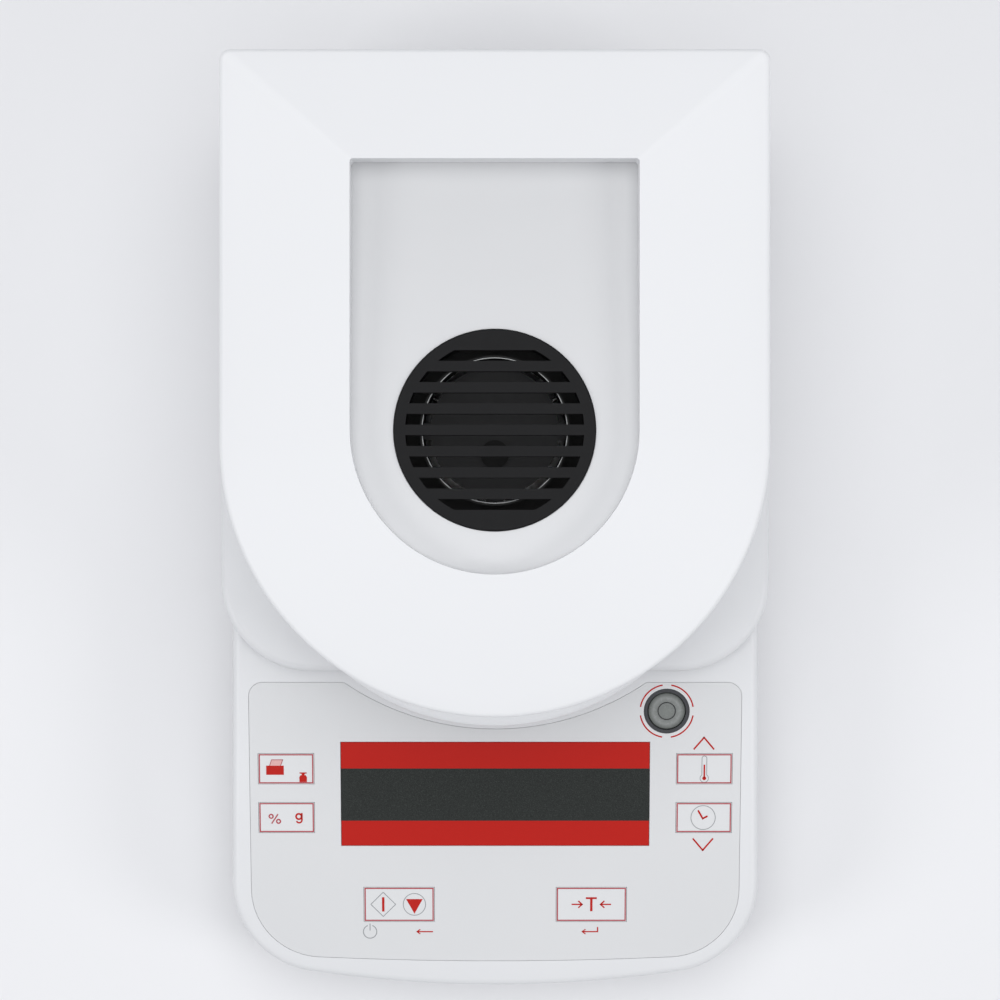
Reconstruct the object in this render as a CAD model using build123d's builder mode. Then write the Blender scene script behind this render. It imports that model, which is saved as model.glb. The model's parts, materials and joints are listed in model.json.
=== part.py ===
from build123d import *
import math
import os

os.makedirs("parts", exist_ok=True)

# A halogen moisture analyzer: a balance in a low housing, a sloped front panel with a display and
# six keys, and a heating hood that opens backwards over the sample chamber. Millimetres, X to the
# right, Y to the back, Z up, with the origin on the table below the middle of the instrument.

# Driving sizes: the rear block carries the hood, and the sloped panel lies in front of it
body_width = 168.0
block_length = 180.3
panel_length = 101.7
overall_height = 130.0
deck_height = 60.0
body_length = block_length + panel_length
half_width = body_width / 2
rear_y = body_length / 2
front_y = -body_length / 2
lobe_front_y = rear_y - block_length
chamber_y = lobe_front_y + 72.3

# Housing
wall = 2.5
foot_height = 6.0
split_height = 24.0
belly_chamfer = 7.0
panel_draft_inset = 3.25
draft_top_height = deck_height - 6.0
front_bow_radius = 390.0
front_corner_radius = 30.0
base_rear_y = rear_y - 1.5
base_corner_radius = 10.0
edge_fillet = 2.5
fit_gap = 0.15
press_gap = 0.02
floor_top = foot_height + wall
floor_vent_pitch = 9.0
floor_vent_size = (3.0, 26.0)
floor_vent_count = 7
front_vent_y = lobe_front_y - 38.7
rear_vent_y = base_rear_y - 26.5

# Rear block with its two lobes beside the hood, and the collar between them
lobe_radius = 28.0
collar_radius = half_width - 8.0
collar_y = chamber_y - 3.0

# Sloped front panel, through a point in its middle
panel_mid_y = lobe_front_y - 50.7
panel_mid_z = 42.5
panel_slope = 8.7
slope_sin = math.sin(math.radians(panel_slope))
slope_cos = math.cos(math.radians(panel_slope))
panel_plane = Plane(
    origin=(0, panel_mid_y, panel_mid_z), x_dir=(1, 0, 0), z_dir=(0, -slope_sin, slope_cos)
)

# Membrane overlay, keys, display and level on the panel
overlay_half = half_width - 7.5
overlay_top_y = lobe_front_y - 4.0
overlay_bottom_y = front_y + 9.0
overlay_bow = 2.5
overlay_thick = 0.5
overlay_top_radius = 4.4
overlay_bottom_radius = 22.0
overlay_arc_half = half_width - 37.0
overlay_arc_y = lobe_front_y - 18.7
side_key_width = 17.3
side_key_depth = 9.6
side_key_x = half_width - 18.8
upper_key_y = lobe_front_y - 31.2
lower_key_y = lobe_front_y - 46.7
front_key_width = 22.0
front_key_depth = 11.0
front_key_x = 30.2
front_key_y = front_y + 27.2
key_flange = 1.2
key_flange_thick = 1.0
key_stem_side = 4.0
key_stem_length = 4.4
key_travel = 0.5
switch_side = 6.0
switch_height = 0.8
switch_gap = 0.1
key_seat_drop = wall + fit_gap
board_drop = key_seat_drop + key_flange_thick + key_stem_length + key_travel + switch_gap + switch_height
board_thick = 1.6
display_gap = 8.45
display_half = side_key_x - side_key_width / 2 - display_gap
display_top_y = lobe_front_y - 22.8
display_bottom_y = display_top_y - 32.8
display_mid_y = (display_top_y + display_bottom_y) / 2
display_depth = (display_top_y - display_bottom_y) / slope_cos
lens_thick = 1.6
lens_chamfer = 0.15
lens_ledge = 3.0
level_x = half_width - 30.7
level_y = lobe_front_y - 13.0
level_radius = 6.0
level_wall = 1.0
level_depth = 7.0
vial_thick = 2.4

# Weighing cell on the floor, and the sample chamber above it
cell_length = 80.0
cell_side = 12.7
cell_bottom = floor_top + 4.5
cell_top = cell_bottom + cell_side
cell_front_y = chamber_y - 8.0
cell_rear_y = cell_front_y + cell_length
cell_hole_radius = 5.0
cell_hole_pitch = 20.0
cell_screw_pitch = 10.0
cell_screw_radius = 2.0
cell_screw_head = 3.2
cell_screw_places = [cell_rear_y - 6.0, cell_rear_y - 6.0 - cell_screw_pitch]
cell_deflection = 0.4
cell_mount_half = 18.0
cell_mount_length = 30.0
well_radius = 61.5
well_wall = 2.5
well_floor_thick = 2.5
well_floor_top = cell_top + 3.8 + well_floor_thick
well_outer = well_radius + well_wall
well_flange = 3.0
well_flange_thick = 2.0
insulation_thick = 3.0
bowl_floor = well_floor_top + insulation_thick
bowl_thick = 1.0
bowl_gap = 0.6
bowl_flange = 4.5
bowl_outer = well_radius - bowl_gap
shield_radius = 52.0
shield_thick = 1.0
shield_height = 9.0
spindle_radius = 3.0
spindle_hole_radius = 6.0
carrier_bottom = well_floor_top + 4.0
carrier_socket = 4.0
pan_radius = 45.0
pan_bottom = bowl_floor + 12.0
pan_depth = 8.5
pan_top = pan_bottom + pan_depth
pan_thick = 0.8
pan_rim = 2.5
pan_taper = 1.5
arm_reach = 34.0
arm_width = 5.0
arm_thick = 2.0
arm_tip_radius = 1.6
arm_top = pan_bottom - 1.2
lifter_width = 6.0
lifter_thick = 1.2
lifter_inner = pan_radius - pan_rim + 0.5
lifter_top = pan_top - pan_thick - 0.2
grip_width = 16.0
grip_depth = 5.0
grip_height = 4.0

# Hood: its walls, its roof with the hollow, and the grip lip in front
rim_z = deck_height + 0.4
hood_rim_half = half_width - 4.0
hood_edge_half = half_width - 6.0
hood_rim_y = chamber_y - 5.0
hood_edge_y = hood_rim_y + 1.8
hood_edge_z = overall_height - 10.0
hood_wall = 2.6
hood_corner_radius = 3.0
hood_edge_fillet = 1.8
recess_half = 40.5
recess_rear_y = rear_y - 32.3
recess_front_y = chamber_y
recess_rear_z = overall_height - 9.5
recess_front_z = overall_height - 5.0
recess_corner_radius = 1.0
recess_floor_thick = 4.6
lip_radius = half_width - 13.0
lip_y = chamber_y - 16.0
lip_bottom_z = rim_z + 5.6
lip_top_z = lip_bottom_z + 18.0
lip_fillet = 2.0
liner_bottom = rim_z + 1.9
liner_thick = 1.0
liner_top = liner_bottom + liner_thick
liner_gap = 0.4
liner_rear_y = rear_y - 16.0

# Heater and air outlet in the hood, hung from below its roof
reflector_thick = 0.8
reflector_mouth = 60.0
reflector_top_radius = 44.0
reflector_top_z = recess_rear_z - recess_floor_thick - 11.9
reflector_flange = 5.0
chimney_radius = 20.5
chimney_thick = 0.8
chimney_flange = 5.0
chimney_flange_thick = 1.0
chimney_top_drop = 3.0
baffle_radius = 18.5
baffle_thick = 1.0
baffle_rise = 4.0
baffle_tab = 5.0
baffle_stud_radius = 3.9
baffle_stud_height = 1.5
baffle_stud_offset = 6.6
chimney_bottom_z = reflector_top_z - 5.0
heater_radius = 37.0
heater_tube = 4.0
heater_drop_share = 0.393
guard_drop_share = 0.639
probe_rise_share = 0.18
reflector_rise = reflector_top_z - liner_top
heater_z = reflector_top_z - heater_drop_share * reflector_rise
heater_gap_angle = 24.0
holder_radius = 3.2
guard_z = reflector_top_z - guard_drop_share * reflector_rise
guard_wire = 0.9
guard_rings = (16.0, 32.0, 48.0)
guard_bar_width = 1.6
guard_bar_thick = 1.5
guard_bar_rise = 0.3
probe_z = liner_top + probe_rise_share * reflector_rise
probe_radius = 1.5
probe_setback = 24.0
probe_length = reflector_mouth + 0.5 - probe_setback
probe_head_side = 8.0
probe_head_length = 6.0
thermostat_offset = 24.0
thermostat_radius = 8.0
thermostat_height = 6.2
thermostat_cap_radius = 5.0
thermostat_cap_height = 3.0
grille_radius = 28.5
grille_thick = 3.0
grille_proud = 0.8
grille_seat = grille_thick - grille_proud
grille_chamfer = 0.4
grille_skirt = 1.2
grille_skirt_depth = 4.0
slot_count = 8
slot_pitch = 6.0
slot_width = 3.05
slot_circle = 25.2
vent_radius = 26.6

# Hinge
hinge_radius = 6.5
pivot_y = rear_y - hinge_radius
pivot_z = rim_z + hinge_radius
pin_radius = 2.5
pin_run_gap = 0.06
hinge_x = half_width - 34.0
knuckle_half = 6.0
knuckle_radius = 5.6
knuckle_foot_length = 18.0
knuckle_foot_thick = 2.0
ear_thick = 3.6
ear_gap = 0.4
ear_radius = 5.5
ear_reach = knuckle_half + ear_gap + ear_thick
bracket_thick = 2.0
bracket_height = 14.0
bracket_low = pivot_z + ear_radius + 2.0
bracket_back_y = rear_y - hood_wall - press_gap
notch_gap = 0.5

# Screws
screw_radius = 1.5
screw_head_radius = 2.8
screw_head = 2.0
boss_radius = 4.0
housing_boss_radius = 4.2
housing_screw_bite = 7.0
housing_screw_places = [
    (side * (half_width - inset), y)
    for side in (-1, 1)
    for inset, y in ((34.0, front_y + 19.0), (14.0, lobe_front_y + 19.3), (14.0, base_rear_y - 41.5))
]
hood_boss_reach = reflector_mouth + reflector_flange + boss_radius + 2.0
hood_boss_angle = math.radians(35.3)
hood_screw_bite = 13.0
hood_boss_places = [
    (side * x, y)
    for side in (-1, 1)
    for x, y in (
        (half_width - 18.0, rear_y - 41.0),
        (
            hood_boss_reach * math.cos(hood_boss_angle),
            chamber_y - hood_boss_reach * math.sin(hood_boss_angle),
        ),
    )
]

# Rear connections
inlet_x = half_width - 36.0
inlet_z = deck_height - 18.0
inlet_width = 27.4
inlet_height = 20.4
inlet_depth = 25.0
inlet_wall = 1.8
inlet_flange = 2.0
inlet_flange_thick = 1.4
socket_depth = 17.0
inlet_pin = (2.0, 11.0, 4.0)
inlet_pin_pitch = 7.0
inlet_pin_step = 4.0
serial_x = 42.0 - half_width
serial_width = 31.0
serial_height = 12.5
serial_depth = 12.0
serial_mouth = (18.0, 8.0, 5.0)
rear_slot_count = 8
rear_slot_pitch = 5.0
rear_slot_size = (2.4, 22.0)
rear_slot_x = (serial_x + serial_width / 2 + inlet_x - inlet_width / 2 - inlet_flange) / 2

# Feet
front_foot_x = half_width - 22.0
front_foot_y = front_y + 35.0
rear_foot_x = half_width - 18.0
rear_foot_y = base_rear_y - 20.5
foot_radius = 8.0
foot_chamfer = 0.8
foot_pad_height = 2.4
foot_wheel_radius = 11.0
foot_wheel_thick = 3.0
foot_wheel_notches = 12
foot_wheel_notch = 1.6
foot_screw_radius = 3.0
foot_boss_radius = 7.0
foot_boss_top = split_height - 2.0
foot_run_gap = 0.08

# Electronics
board_post_radius = 3.0
main_board_bottom = floor_top + 4.5
main_board_half = half_width - 36.0
main_board_front_y = front_y + 29.0
main_board_rear_y = lobe_front_y - 0.7
bay_mid_x = (cell_mount_half + rear_foot_x - foot_boss_radius) / 2
bay_rear_y = base_rear_y - wall - 4.5
bay_width = 31.0
bay_length = 34.0
power_board_bottom = floor_top + 4.0


def on_panel(y):
    """Distance up the sloped panel from its middle for a place given along Y."""
    return (y - panel_mid_y) / slope_cos


def panel_height(y):
    """Height of the panel's face at a place along Y."""
    return panel_mid_z + (y - panel_mid_y) * slope_sin / slope_cos


def save(solid, name):
    """Label a finished piece and write its file."""
    solid.label = name
    export_step(solid, f"parts/{name}.step")


def block(size, low):
    """Box of a size whose lowest corner is given."""
    with BuildPart() as solid:
        with Locations(low):
            Box(*size, align=(Align.MIN, Align.MIN, Align.MIN))
    return solid.part


def post(x, y, radius, low, high):
    """Upright round post between two heights."""
    with BuildPart() as solid:
        with BuildSketch(Plane.XY.offset(low)):
            with Locations((x, y)):
                Circle(radius)
        extrude(amount=high - low)
    return solid.part


def stud(x, y, radius, low, high):
    """Upright screw or pin, with twelve plain sides."""
    with BuildPart() as solid:
        with BuildSketch(Plane.XY.offset(low)):
            with Locations((x, y)):
                RegularPolygon(radius, 12)
        extrude(amount=high - low)
    return solid.part


def screw(x, y, seat, head, bite):
    """Screw whose head lies against a seat and whose shank goes into a bore, either way along Z."""
    with BuildPart() as solid:
        add(stud(x, y, screw_head_radius, min(seat, seat + head), max(seat, seat + head)))
        add(stud(x, y, screw_radius - press_gap, min(seat, seat + bite), max(seat, seat + bite)))
    return solid.part


def turned(*points):
    """Round piece about the chamber's upright axis, from the corners of its section."""
    with BuildPart() as solid:
        with BuildSketch(Plane(origin=(0, chamber_y, 0), x_dir=(1, 0, 0), z_dir=(0, -1, 0))):
            with BuildLine():
                Polyline(*points, close=True)
            make_face()
        revolve(axis=Axis((0, chamber_y, 0), (0, 0, 1)))
    return solid.part


def house_plan(height, inset):
    """Outline of the housing from above: straight sides, a bowed front and rounded corners."""
    half = half_width - inset
    bow = front_bow_radius - inset
    bow_y = front_y + front_bow_radius
    side_y = bow_y - math.sqrt(bow**2 - half**2)
    back_y = base_rear_y - inset
    with BuildSketch(Plane.XY.offset(height)) as plan:
        with BuildLine():
            ThreePointArc((-half, side_y), (0, bow_y - bow), (half, side_y))
            Polyline((half, side_y), (half, back_y), (-half, back_y), (-half, side_y))
        make_face()
        fillet(plan.vertices().group_by(Axis.Y)[0], front_corner_radius - inset)
        fillet(plan.vertices().group_by(Axis.Y)[-1], max(base_corner_radius - inset, 1.0))
    return plan.sketch


def lobe_plan(height, inset):
    """Outline of the raised rear block: a rectangle with round lobes and the collar between them."""
    depth = base_rear_y - lobe_front_y
    mid_y = (base_rear_y + lobe_front_y) / 2
    with BuildSketch(Plane.XY.offset(height)) as plan:
        with Locations((0, mid_y)):
            Rectangle(body_width - 2 * inset, depth - 2 * inset)
        fillet(plan.vertices().group_by(Axis.Y)[0], lobe_radius - inset)
        fillet(plan.vertices().group_by(Axis.Y)[-1], max(base_corner_radius - inset, 1.0))
        with Locations((0, collar_y)):
            Circle(collar_radius - inset)
    return plan.sketch


def panel_cutter(drop):
    """Everything above the sloped panel, lowered by a wall."""
    reach = body_length
    with BuildPart() as cutter:
        with BuildSketch(Plane.YZ.offset(-body_width)):
            with BuildLine():
                Polyline(
                    (front_y - reach, panel_height(front_y - reach) - drop),
                    (reach, panel_height(reach) - drop),
                    (reach, 2 * reach),
                    (front_y - reach, 2 * reach),
                    close=True,
                )
            make_face()
        extrude(amount=2 * body_width)
    return cutter.part


def front_form(inset):
    """Solid below the sloped panel, with drafted sides, back to the middle of the instrument."""
    with BuildPart() as front:
        with BuildSketch(Plane.XY.offset(split_height)):
            add(house_plan(0, inset))
        with BuildSketch(Plane.XY.offset(draft_top_height)):
            add(house_plan(0, inset + panel_draft_inset))
        loft(ruled=True)
        add(block((2 * body_width, body_length, overall_height), (-body_width, 0, 0)), mode=Mode.SUBTRACT)
        add(panel_cutter(inset / slope_cos), mode=Mode.SUBTRACT)
        if inset == 0:
            slopes = front.faces().filter_by(lambda f: abs(f.normal_at().Y + slope_sin) < 0.01)
            rim = slopes.sort_by(Axis.Z)[-1].edges().filter_by(lambda e: e.center().Y < lobe_front_y - 1)
            fillet(rim, edge_fillet)
    return front.part


def upper_form(inset):
    """Solid form of the upper housing, set in by a wall on every side but its open bottom."""
    with BuildPart() as form:
        with BuildSketch(Plane.XY.offset(split_height)):
            add(lobe_plan(0, inset))
        extrude(amount=deck_height - inset - split_height)
        if inset == 0:
            fillet(form.faces().sort_by(Axis.Z)[-1].edges(), edge_fillet)
        add(front_form(inset))
    return form.part


def d_plan(height, half, back_y, center_y, corner):
    """Flat-backed outline with straight sides and a half-round front."""
    with BuildSketch(Plane.XY.offset(height)) as plan:
        with BuildLine():
            Polyline((-half, center_y), (-half, back_y), (half, back_y), (half, center_y))
            ThreePointArc((half, center_y), (0, center_y - half), (-half, center_y))
        make_face()
        fillet(plan.vertices().group_by(Axis.Y)[-1], corner)
    return plan.sketch


def floor_height(y):
    """Height of the sloping recess floor in the hood's top."""
    front = recess_front_y - recess_half
    share = (y - front) / (recess_rear_y - front)
    return recess_front_z + (recess_rear_z - recess_front_z) * share


def recess_form(grow, drop):
    """The hollow in the hood's top, grown sideways and lowered by a wall."""
    with BuildPart() as form:
        with BuildSketch():
            corner = recess_corner_radius + grow
            add(d_plan(0, recess_half + grow, recess_rear_y + grow, recess_front_y, corner))
        extrude(amount=2 * overall_height)
        with BuildSketch(Plane.YZ.offset(-body_width)):
            with BuildLine():
                Polyline(
                    (front_y, floor_height(front_y) - drop),
                    (2 * rear_y, floor_height(2 * rear_y) - drop),
                    (2 * rear_y, 3 * overall_height),
                    (front_y, 3 * overall_height),
                    close=True,
                )
            make_face()
        extrude(amount=2 * body_width, mode=Mode.INTERSECT)
    return form.part


def hood_form(inset):
    """Hood without its recess: drafted walls and a roof that rises to the recess's edge."""
    corner = max(hood_corner_radius - inset, 0.6)
    with BuildPart() as form:
        with BuildSketch(Plane.XY.offset(rim_z)):
            add(d_plan(0, hood_rim_half - inset, rear_y - inset, hood_rim_y, corner))
        with BuildSketch(Plane.XY.offset(hood_edge_z - inset)):
            add(d_plan(0, hood_edge_half - inset, rear_y - inset, hood_edge_y, corner))
        loft(ruled=True)
    with BuildPart() as roof:
        with BuildSketch(Plane.XY.offset(hood_edge_z - inset)):
            add(d_plan(0, hood_edge_half - inset, rear_y - inset, hood_edge_y, corner))
        with BuildSketch(Plane.XY.offset(overall_height - inset)):
            add(d_plan(0, recess_half, recess_rear_y, recess_front_y, recess_corner_radius))
        loft(ruled=True)
    with BuildPart() as hood:
        add(form.part)
        add(roof.part)
    return hood.part


def lip_form():
    """Grip lip across the hood's front: a disc that stands out of its round wall."""
    with BuildPart() as lip:
        with BuildSketch(Plane.XY.offset(lip_bottom_z)):
            with Locations((0, lip_y)):
                Circle(lip_radius)
        extrude(amount=lip_top_z - lip_bottom_z)
        chamfer(lip.edges().filter_by(GeomType.CIRCLE).sort_by(Axis.Z)[0], lip_fillet)
        fillet(lip.edges().filter_by(GeomType.CIRCLE).sort_by(Axis.Z)[-1], lip_fillet)
    return lip.part


def hinge_corner(radius, length):
    """What a round lower rear corner about the hinge line leaves out of a square one."""
    with BuildPart() as corner:
        with BuildSketch(Plane.YZ.offset(-length / 2)):
            with Locations((pivot_y + hinge_radius, pivot_z - hinge_radius)):
                Rectangle(2 * hinge_radius, 2 * hinge_radius)
            with Locations((pivot_y, pivot_z)):
                Circle(radius, mode=Mode.SUBTRACT)
        extrude(amount=length)
    return corner.part


def overlay_plan(plane, grow):
    """Outline of the membrane overlay, with the arc that follows the hood's front."""
    top = on_panel(overlay_top_y) + grow
    bottom = on_panel(overlay_bottom_y) - grow
    half = overlay_half + grow
    arc = overlay_arc_half
    with BuildSketch(plane) as plan:
        with BuildLine():
            ThreePointArc((-half, bottom + overlay_bow), (0, bottom), (half, bottom + overlay_bow))
            Line((half, bottom + overlay_bow), (half, top))
            Line((half, top), (arc, top))
            ThreePointArc((arc, top), (0, on_panel(overlay_arc_y) + grow), (-arc, top))
            Line((-arc, top), (-half, top))
            Line((-half, top), (-half, bottom + overlay_bow))
        make_face()
        corners = plan.vertices().filter_by(lambda v: abs(abs(v.X) - half) < 0.01)
        fillet(corners.group_by(Axis.Y)[0], overlay_bottom_radius + grow)
        corners = plan.vertices().filter_by(lambda v: abs(abs(v.X) - half) < 0.01)
        fillet(corners.group_by(Axis.Y)[-1], overlay_top_radius + grow)
    return plan.sketch


def panel_windows(plane, display_margin):
    """Openings for the display, the keys and the level, on a plane of the panel."""
    with BuildSketch(plane) as windows:
        with Locations((0, on_panel(display_mid_y))):
            Rectangle(2 * (display_half + display_margin), display_depth + 2 * display_margin)
        for x, y, width, depth in key_places.values():
            with Locations((x, on_panel(y))):
                Rectangle(width + 2 * fit_gap, depth + 2 * fit_gap)
        with Locations((level_x, on_panel(level_y))):
            Circle(level_radius + level_wall + fit_gap)
    return windows.sketch


# Lower housing: tray with vents, bosses and seats for the feet
with BuildPart() as tray_form:
    with BuildSketch(Plane.XY.offset(foot_height)):
        add(house_plan(0, 0))
    extrude(amount=split_height - foot_height)
    chamfer(tray_form.faces().sort_by(Axis.Z)[0].edges(), belly_chamfer)

with BuildPart() as tray_hollow:
    with BuildSketch(Plane.XY.offset(floor_top)):
        add(house_plan(0, wall))
    extrude(amount=split_height - floor_top)
    chamfer(tray_hollow.faces().sort_by(Axis.Z)[0].edges(), belly_chamfer - 0.4 * wall)
    for x, y in housing_screw_places:
        add(post(x, y, housing_boss_radius, floor_top, split_height), mode=Mode.SUBTRACT)
    for side in (-1, 1):
        foot_boss = post(side * rear_foot_x, rear_foot_y, foot_boss_radius, floor_top, foot_boss_top)
        add(foot_boss, mode=Mode.SUBTRACT)

with BuildPart() as lower_housing:
    add(tray_form.part)
    add(tray_hollow.part, mode=Mode.SUBTRACT)
    for x, y in housing_screw_places:
        add(post(x, y, screw_radius + fit_gap, 0, split_height), mode=Mode.SUBTRACT)
        add(post(x, y, screw_head_radius + fit_gap, 0, foot_height + screw_head), mode=Mode.SUBTRACT)
    for side in (-1, 1):
        bore = foot_screw_radius + foot_run_gap
        add(post(side * rear_foot_x, rear_foot_y, bore, 0, foot_boss_top), mode=Mode.SUBTRACT)
    with BuildSketch(Plane.XY.offset(foot_height)):
        with Locations((0, front_vent_y), (0, rear_vent_y)):
            with GridLocations(floor_vent_pitch, 0, floor_vent_count, 1):
                Rectangle(*floor_vent_size)
    extrude(amount=wall, mode=Mode.SUBTRACT)
save(lower_housing.part, "lower_housing")

# Upper housing: deck, lobes, sloped panel and rear wall in one moulding
board_post_places = [
    (-half_width + 33.5, lobe_front_y - 39.2),
    (half_width - 33.5, lobe_front_y - 39.2),
    (-half_width + 33.5, front_y + 38.0),
    (half_width - 33.5, front_y + 38.0),
    (0, front_y + 38.0),
]
key_places = {
    "print_key": (-side_key_x, upper_key_y, side_key_width, side_key_depth),
    "unit_key": (-side_key_x, lower_key_y, side_key_width, side_key_depth),
    "temperature_key": (side_key_x, upper_key_y, side_key_width, side_key_depth),
    "time_key": (side_key_x, lower_key_y, side_key_width, side_key_depth),
    "start_key": (-front_key_x, front_key_y, front_key_width, front_key_depth),
    "tare_key": (front_key_x, front_key_y, front_key_width, front_key_depth),
}

with BuildPart() as upper_hollow:
    add(upper_form(wall))
    for x, y in housing_screw_places:
        add(post(x, y, housing_boss_radius, split_height, deck_height), mode=Mode.SUBTRACT)
    with BuildSketch(panel_plane.offset(-board_drop)):
        for x, y in board_post_places:
            with Locations((x, on_panel(y))):
                Circle(board_post_radius)
    extrude(amount=board_drop, mode=Mode.SUBTRACT)

rear_wall_y = base_rear_y - wall - 1
with BuildPart() as upper_housing:
    add(upper_form(0))
    add(upper_hollow.part, mode=Mode.SUBTRACT)
    well_room = post(0, chamber_y, well_outer + fit_gap, deck_height - 2 * wall, deck_height + 1)
    add(well_room, mode=Mode.SUBTRACT)
    extrude(overlay_plan(panel_plane, fit_gap), amount=-overlay_thick, mode=Mode.SUBTRACT)
    with BuildSketch(panel_plane):
        with Locations((0, on_panel(display_mid_y))):
            Rectangle(2 * (display_half + fit_gap), display_depth + 2 * fit_gap)
    extrude(amount=-lens_thick, mode=Mode.SUBTRACT)
    extrude(panel_windows(panel_plane, -lens_ledge), amount=-board_drop, mode=Mode.SUBTRACT)
    for x, y in housing_screw_places:
        add(post(x, y, screw_radius, split_height, split_height + housing_screw_bite + 1), mode=Mode.SUBTRACT)
    for x, width, height in ((inlet_x, inlet_width, inlet_height), (serial_x, serial_width, serial_height)):
        low = (x - width / 2 - fit_gap, rear_wall_y, inlet_z - height / 2 - fit_gap)
        add(block((width + 2 * fit_gap, wall + 2, height + 2 * fit_gap), low), mode=Mode.SUBTRACT)
    with BuildSketch(Plane.XZ.offset(-base_rear_y)):
        with Locations((rear_slot_x, inlet_z)):
            with GridLocations(rear_slot_pitch, 0, rear_slot_count, 1):
                Rectangle(*rear_slot_size)
    extrude(amount=wall + 0.5, mode=Mode.SUBTRACT)
save(upper_housing.part, "upper_housing")

# Membrane overlay with openings for the display, the keys and the level
with BuildPart() as keypad_overlay:
    extrude(overlay_plan(panel_plane, 0), amount=-overlay_thick)
    extrude(panel_windows(panel_plane, fit_gap), amount=-overlay_thick, mode=Mode.SUBTRACT)
save(keypad_overlay.part, "keypad_overlay")

# Display window with its band of colour printed behind it
with BuildPart() as display_lens:
    with BuildSketch(panel_plane):
        with Locations((0, on_panel(display_mid_y))):
            Rectangle(2 * display_half, display_depth)
    extrude(amount=-lens_thick)
    chamfer(display_lens.faces().sort_by(Axis.Z)[-1].edges(), lens_chamfer)
save(display_lens.part, "display_lens")

# Keys: a cap level with the overlay, a flange behind the panel and a stem onto its switch
for key_name, (x, y, width, depth) in key_places.items():
    with BuildPart() as key:
        with BuildSketch(panel_plane):
            with Locations((x, on_panel(y))):
                Rectangle(width, depth)
        extrude(amount=-key_seat_drop)
        with BuildSketch(panel_plane.offset(-key_seat_drop)):
            with Locations((x, on_panel(y))):
                Rectangle(width + 2 * key_flange, depth + 2 * key_flange)
        extrude(amount=-key_flange_thick)
        with BuildSketch(panel_plane.offset(-key_seat_drop - key_flange_thick)):
            with Locations((x, on_panel(y))):
                Rectangle(key_stem_side, key_stem_side)
        extrude(amount=-key_stem_length)
    save(key.part, key_name)

# Keypad board with one dome switch under each key, and the display module on its face
board_rear_y = lobe_front_y - 22.2
board_front_y = front_y + 23.5
board_mid_y = (board_rear_y + board_front_y) / 2
board_corner = 10.0
with BuildPart() as keypad_board:
    with BuildSketch(panel_plane.offset(-board_drop)):
        with Locations((0, on_panel(board_mid_y))):
            RectangleRounded(2 * (half_width - 9), board_rear_y - board_front_y, board_corner)
        for x, y in board_post_places:
            with Locations((x, on_panel(y))):
                Circle(screw_radius + fit_gap, mode=Mode.SUBTRACT)
    extrude(amount=-board_thick)
    with BuildSketch(panel_plane.offset(-board_drop)):
        for x, y, width, depth in key_places.values():
            with Locations((x, on_panel(y))):
                Rectangle(switch_side, switch_side)
    extrude(amount=switch_height)
save(keypad_board.part, "keypad_board")

lcd_gap = 1.2
lcd_margin = lens_ledge + 0.5
lcd_frame = 3.0
lcd_window_depth = 17.0
lcd_window_drop = 0.6
with BuildPart() as lcd_module:
    with BuildSketch(panel_plane.offset(-board_drop)):
        with Locations((0, on_panel(display_mid_y))):
            Rectangle(2 * (display_half - lcd_margin), display_depth - 2 * lcd_margin)
    extrude(amount=board_drop - lens_thick - lcd_gap)
    with BuildSketch(panel_plane.offset(-lens_thick - lcd_gap)):
        with Locations((0, on_panel(display_mid_y))):
            Rectangle(2 * (display_half - lcd_margin - lcd_frame), lcd_window_depth)
    extrude(amount=-lcd_window_drop, mode=Mode.SUBTRACT)
save(lcd_module.part, "lcd_module")

with BuildPart() as board_screws:
    with BuildSketch(panel_plane.offset(-board_drop - board_thick)):
        for x, y in board_post_places:
            with Locations((x, on_panel(y))):
                RegularPolygon(screw_head_radius, 12)
    extrude(amount=-screw_head)
    with BuildSketch(panel_plane.offset(-board_drop - board_thick)):
        for x, y in board_post_places:
            with Locations((x, on_panel(y))):
                RegularPolygon(screw_radius, 12)
    extrude(amount=board_thick)
save(board_screws.part, "board_screws")

# Spirit level: a cup pressed into the panel and the glass vial in it
with BuildPart() as level_cup:
    with BuildSketch(panel_plane):
        with Locations((level_x, on_panel(level_y))):
            Circle(level_radius + level_wall)
    extrude(amount=-level_depth)
    with BuildSketch(panel_plane):
        with Locations((level_x, on_panel(level_y))):
            Circle(level_radius)
    extrude(amount=-vial_thick, mode=Mode.SUBTRACT)
save(level_cup.part, "level_cup")

vial_sink = 0.2
vial_chamfer = 0.4
with BuildPart() as level_vial:
    with BuildSketch(panel_plane.offset(-vial_thick)):
        with Locations((level_x, on_panel(level_y))):
            Circle(level_radius - press_gap)
    extrude(amount=vial_thick - vial_sink)
    chamfer(level_vial.faces().sort_by(Axis.Z)[-1].edges(), vial_chamfer)
save(level_vial.part, "level_vial")

# Feet: two fixed ones in front, and two with thumb screws behind that level the instrument
with BuildPart() as front_feet:
    with BuildSketch():
        with Locations((-front_foot_x, front_foot_y), (front_foot_x, front_foot_y)):
            Circle(foot_radius)
    extrude(amount=foot_height)
    chamfer(front_feet.faces().group_by(Axis.Z)[0].edges(), foot_chamfer)
save(front_feet.part, "front_feet")

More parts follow.
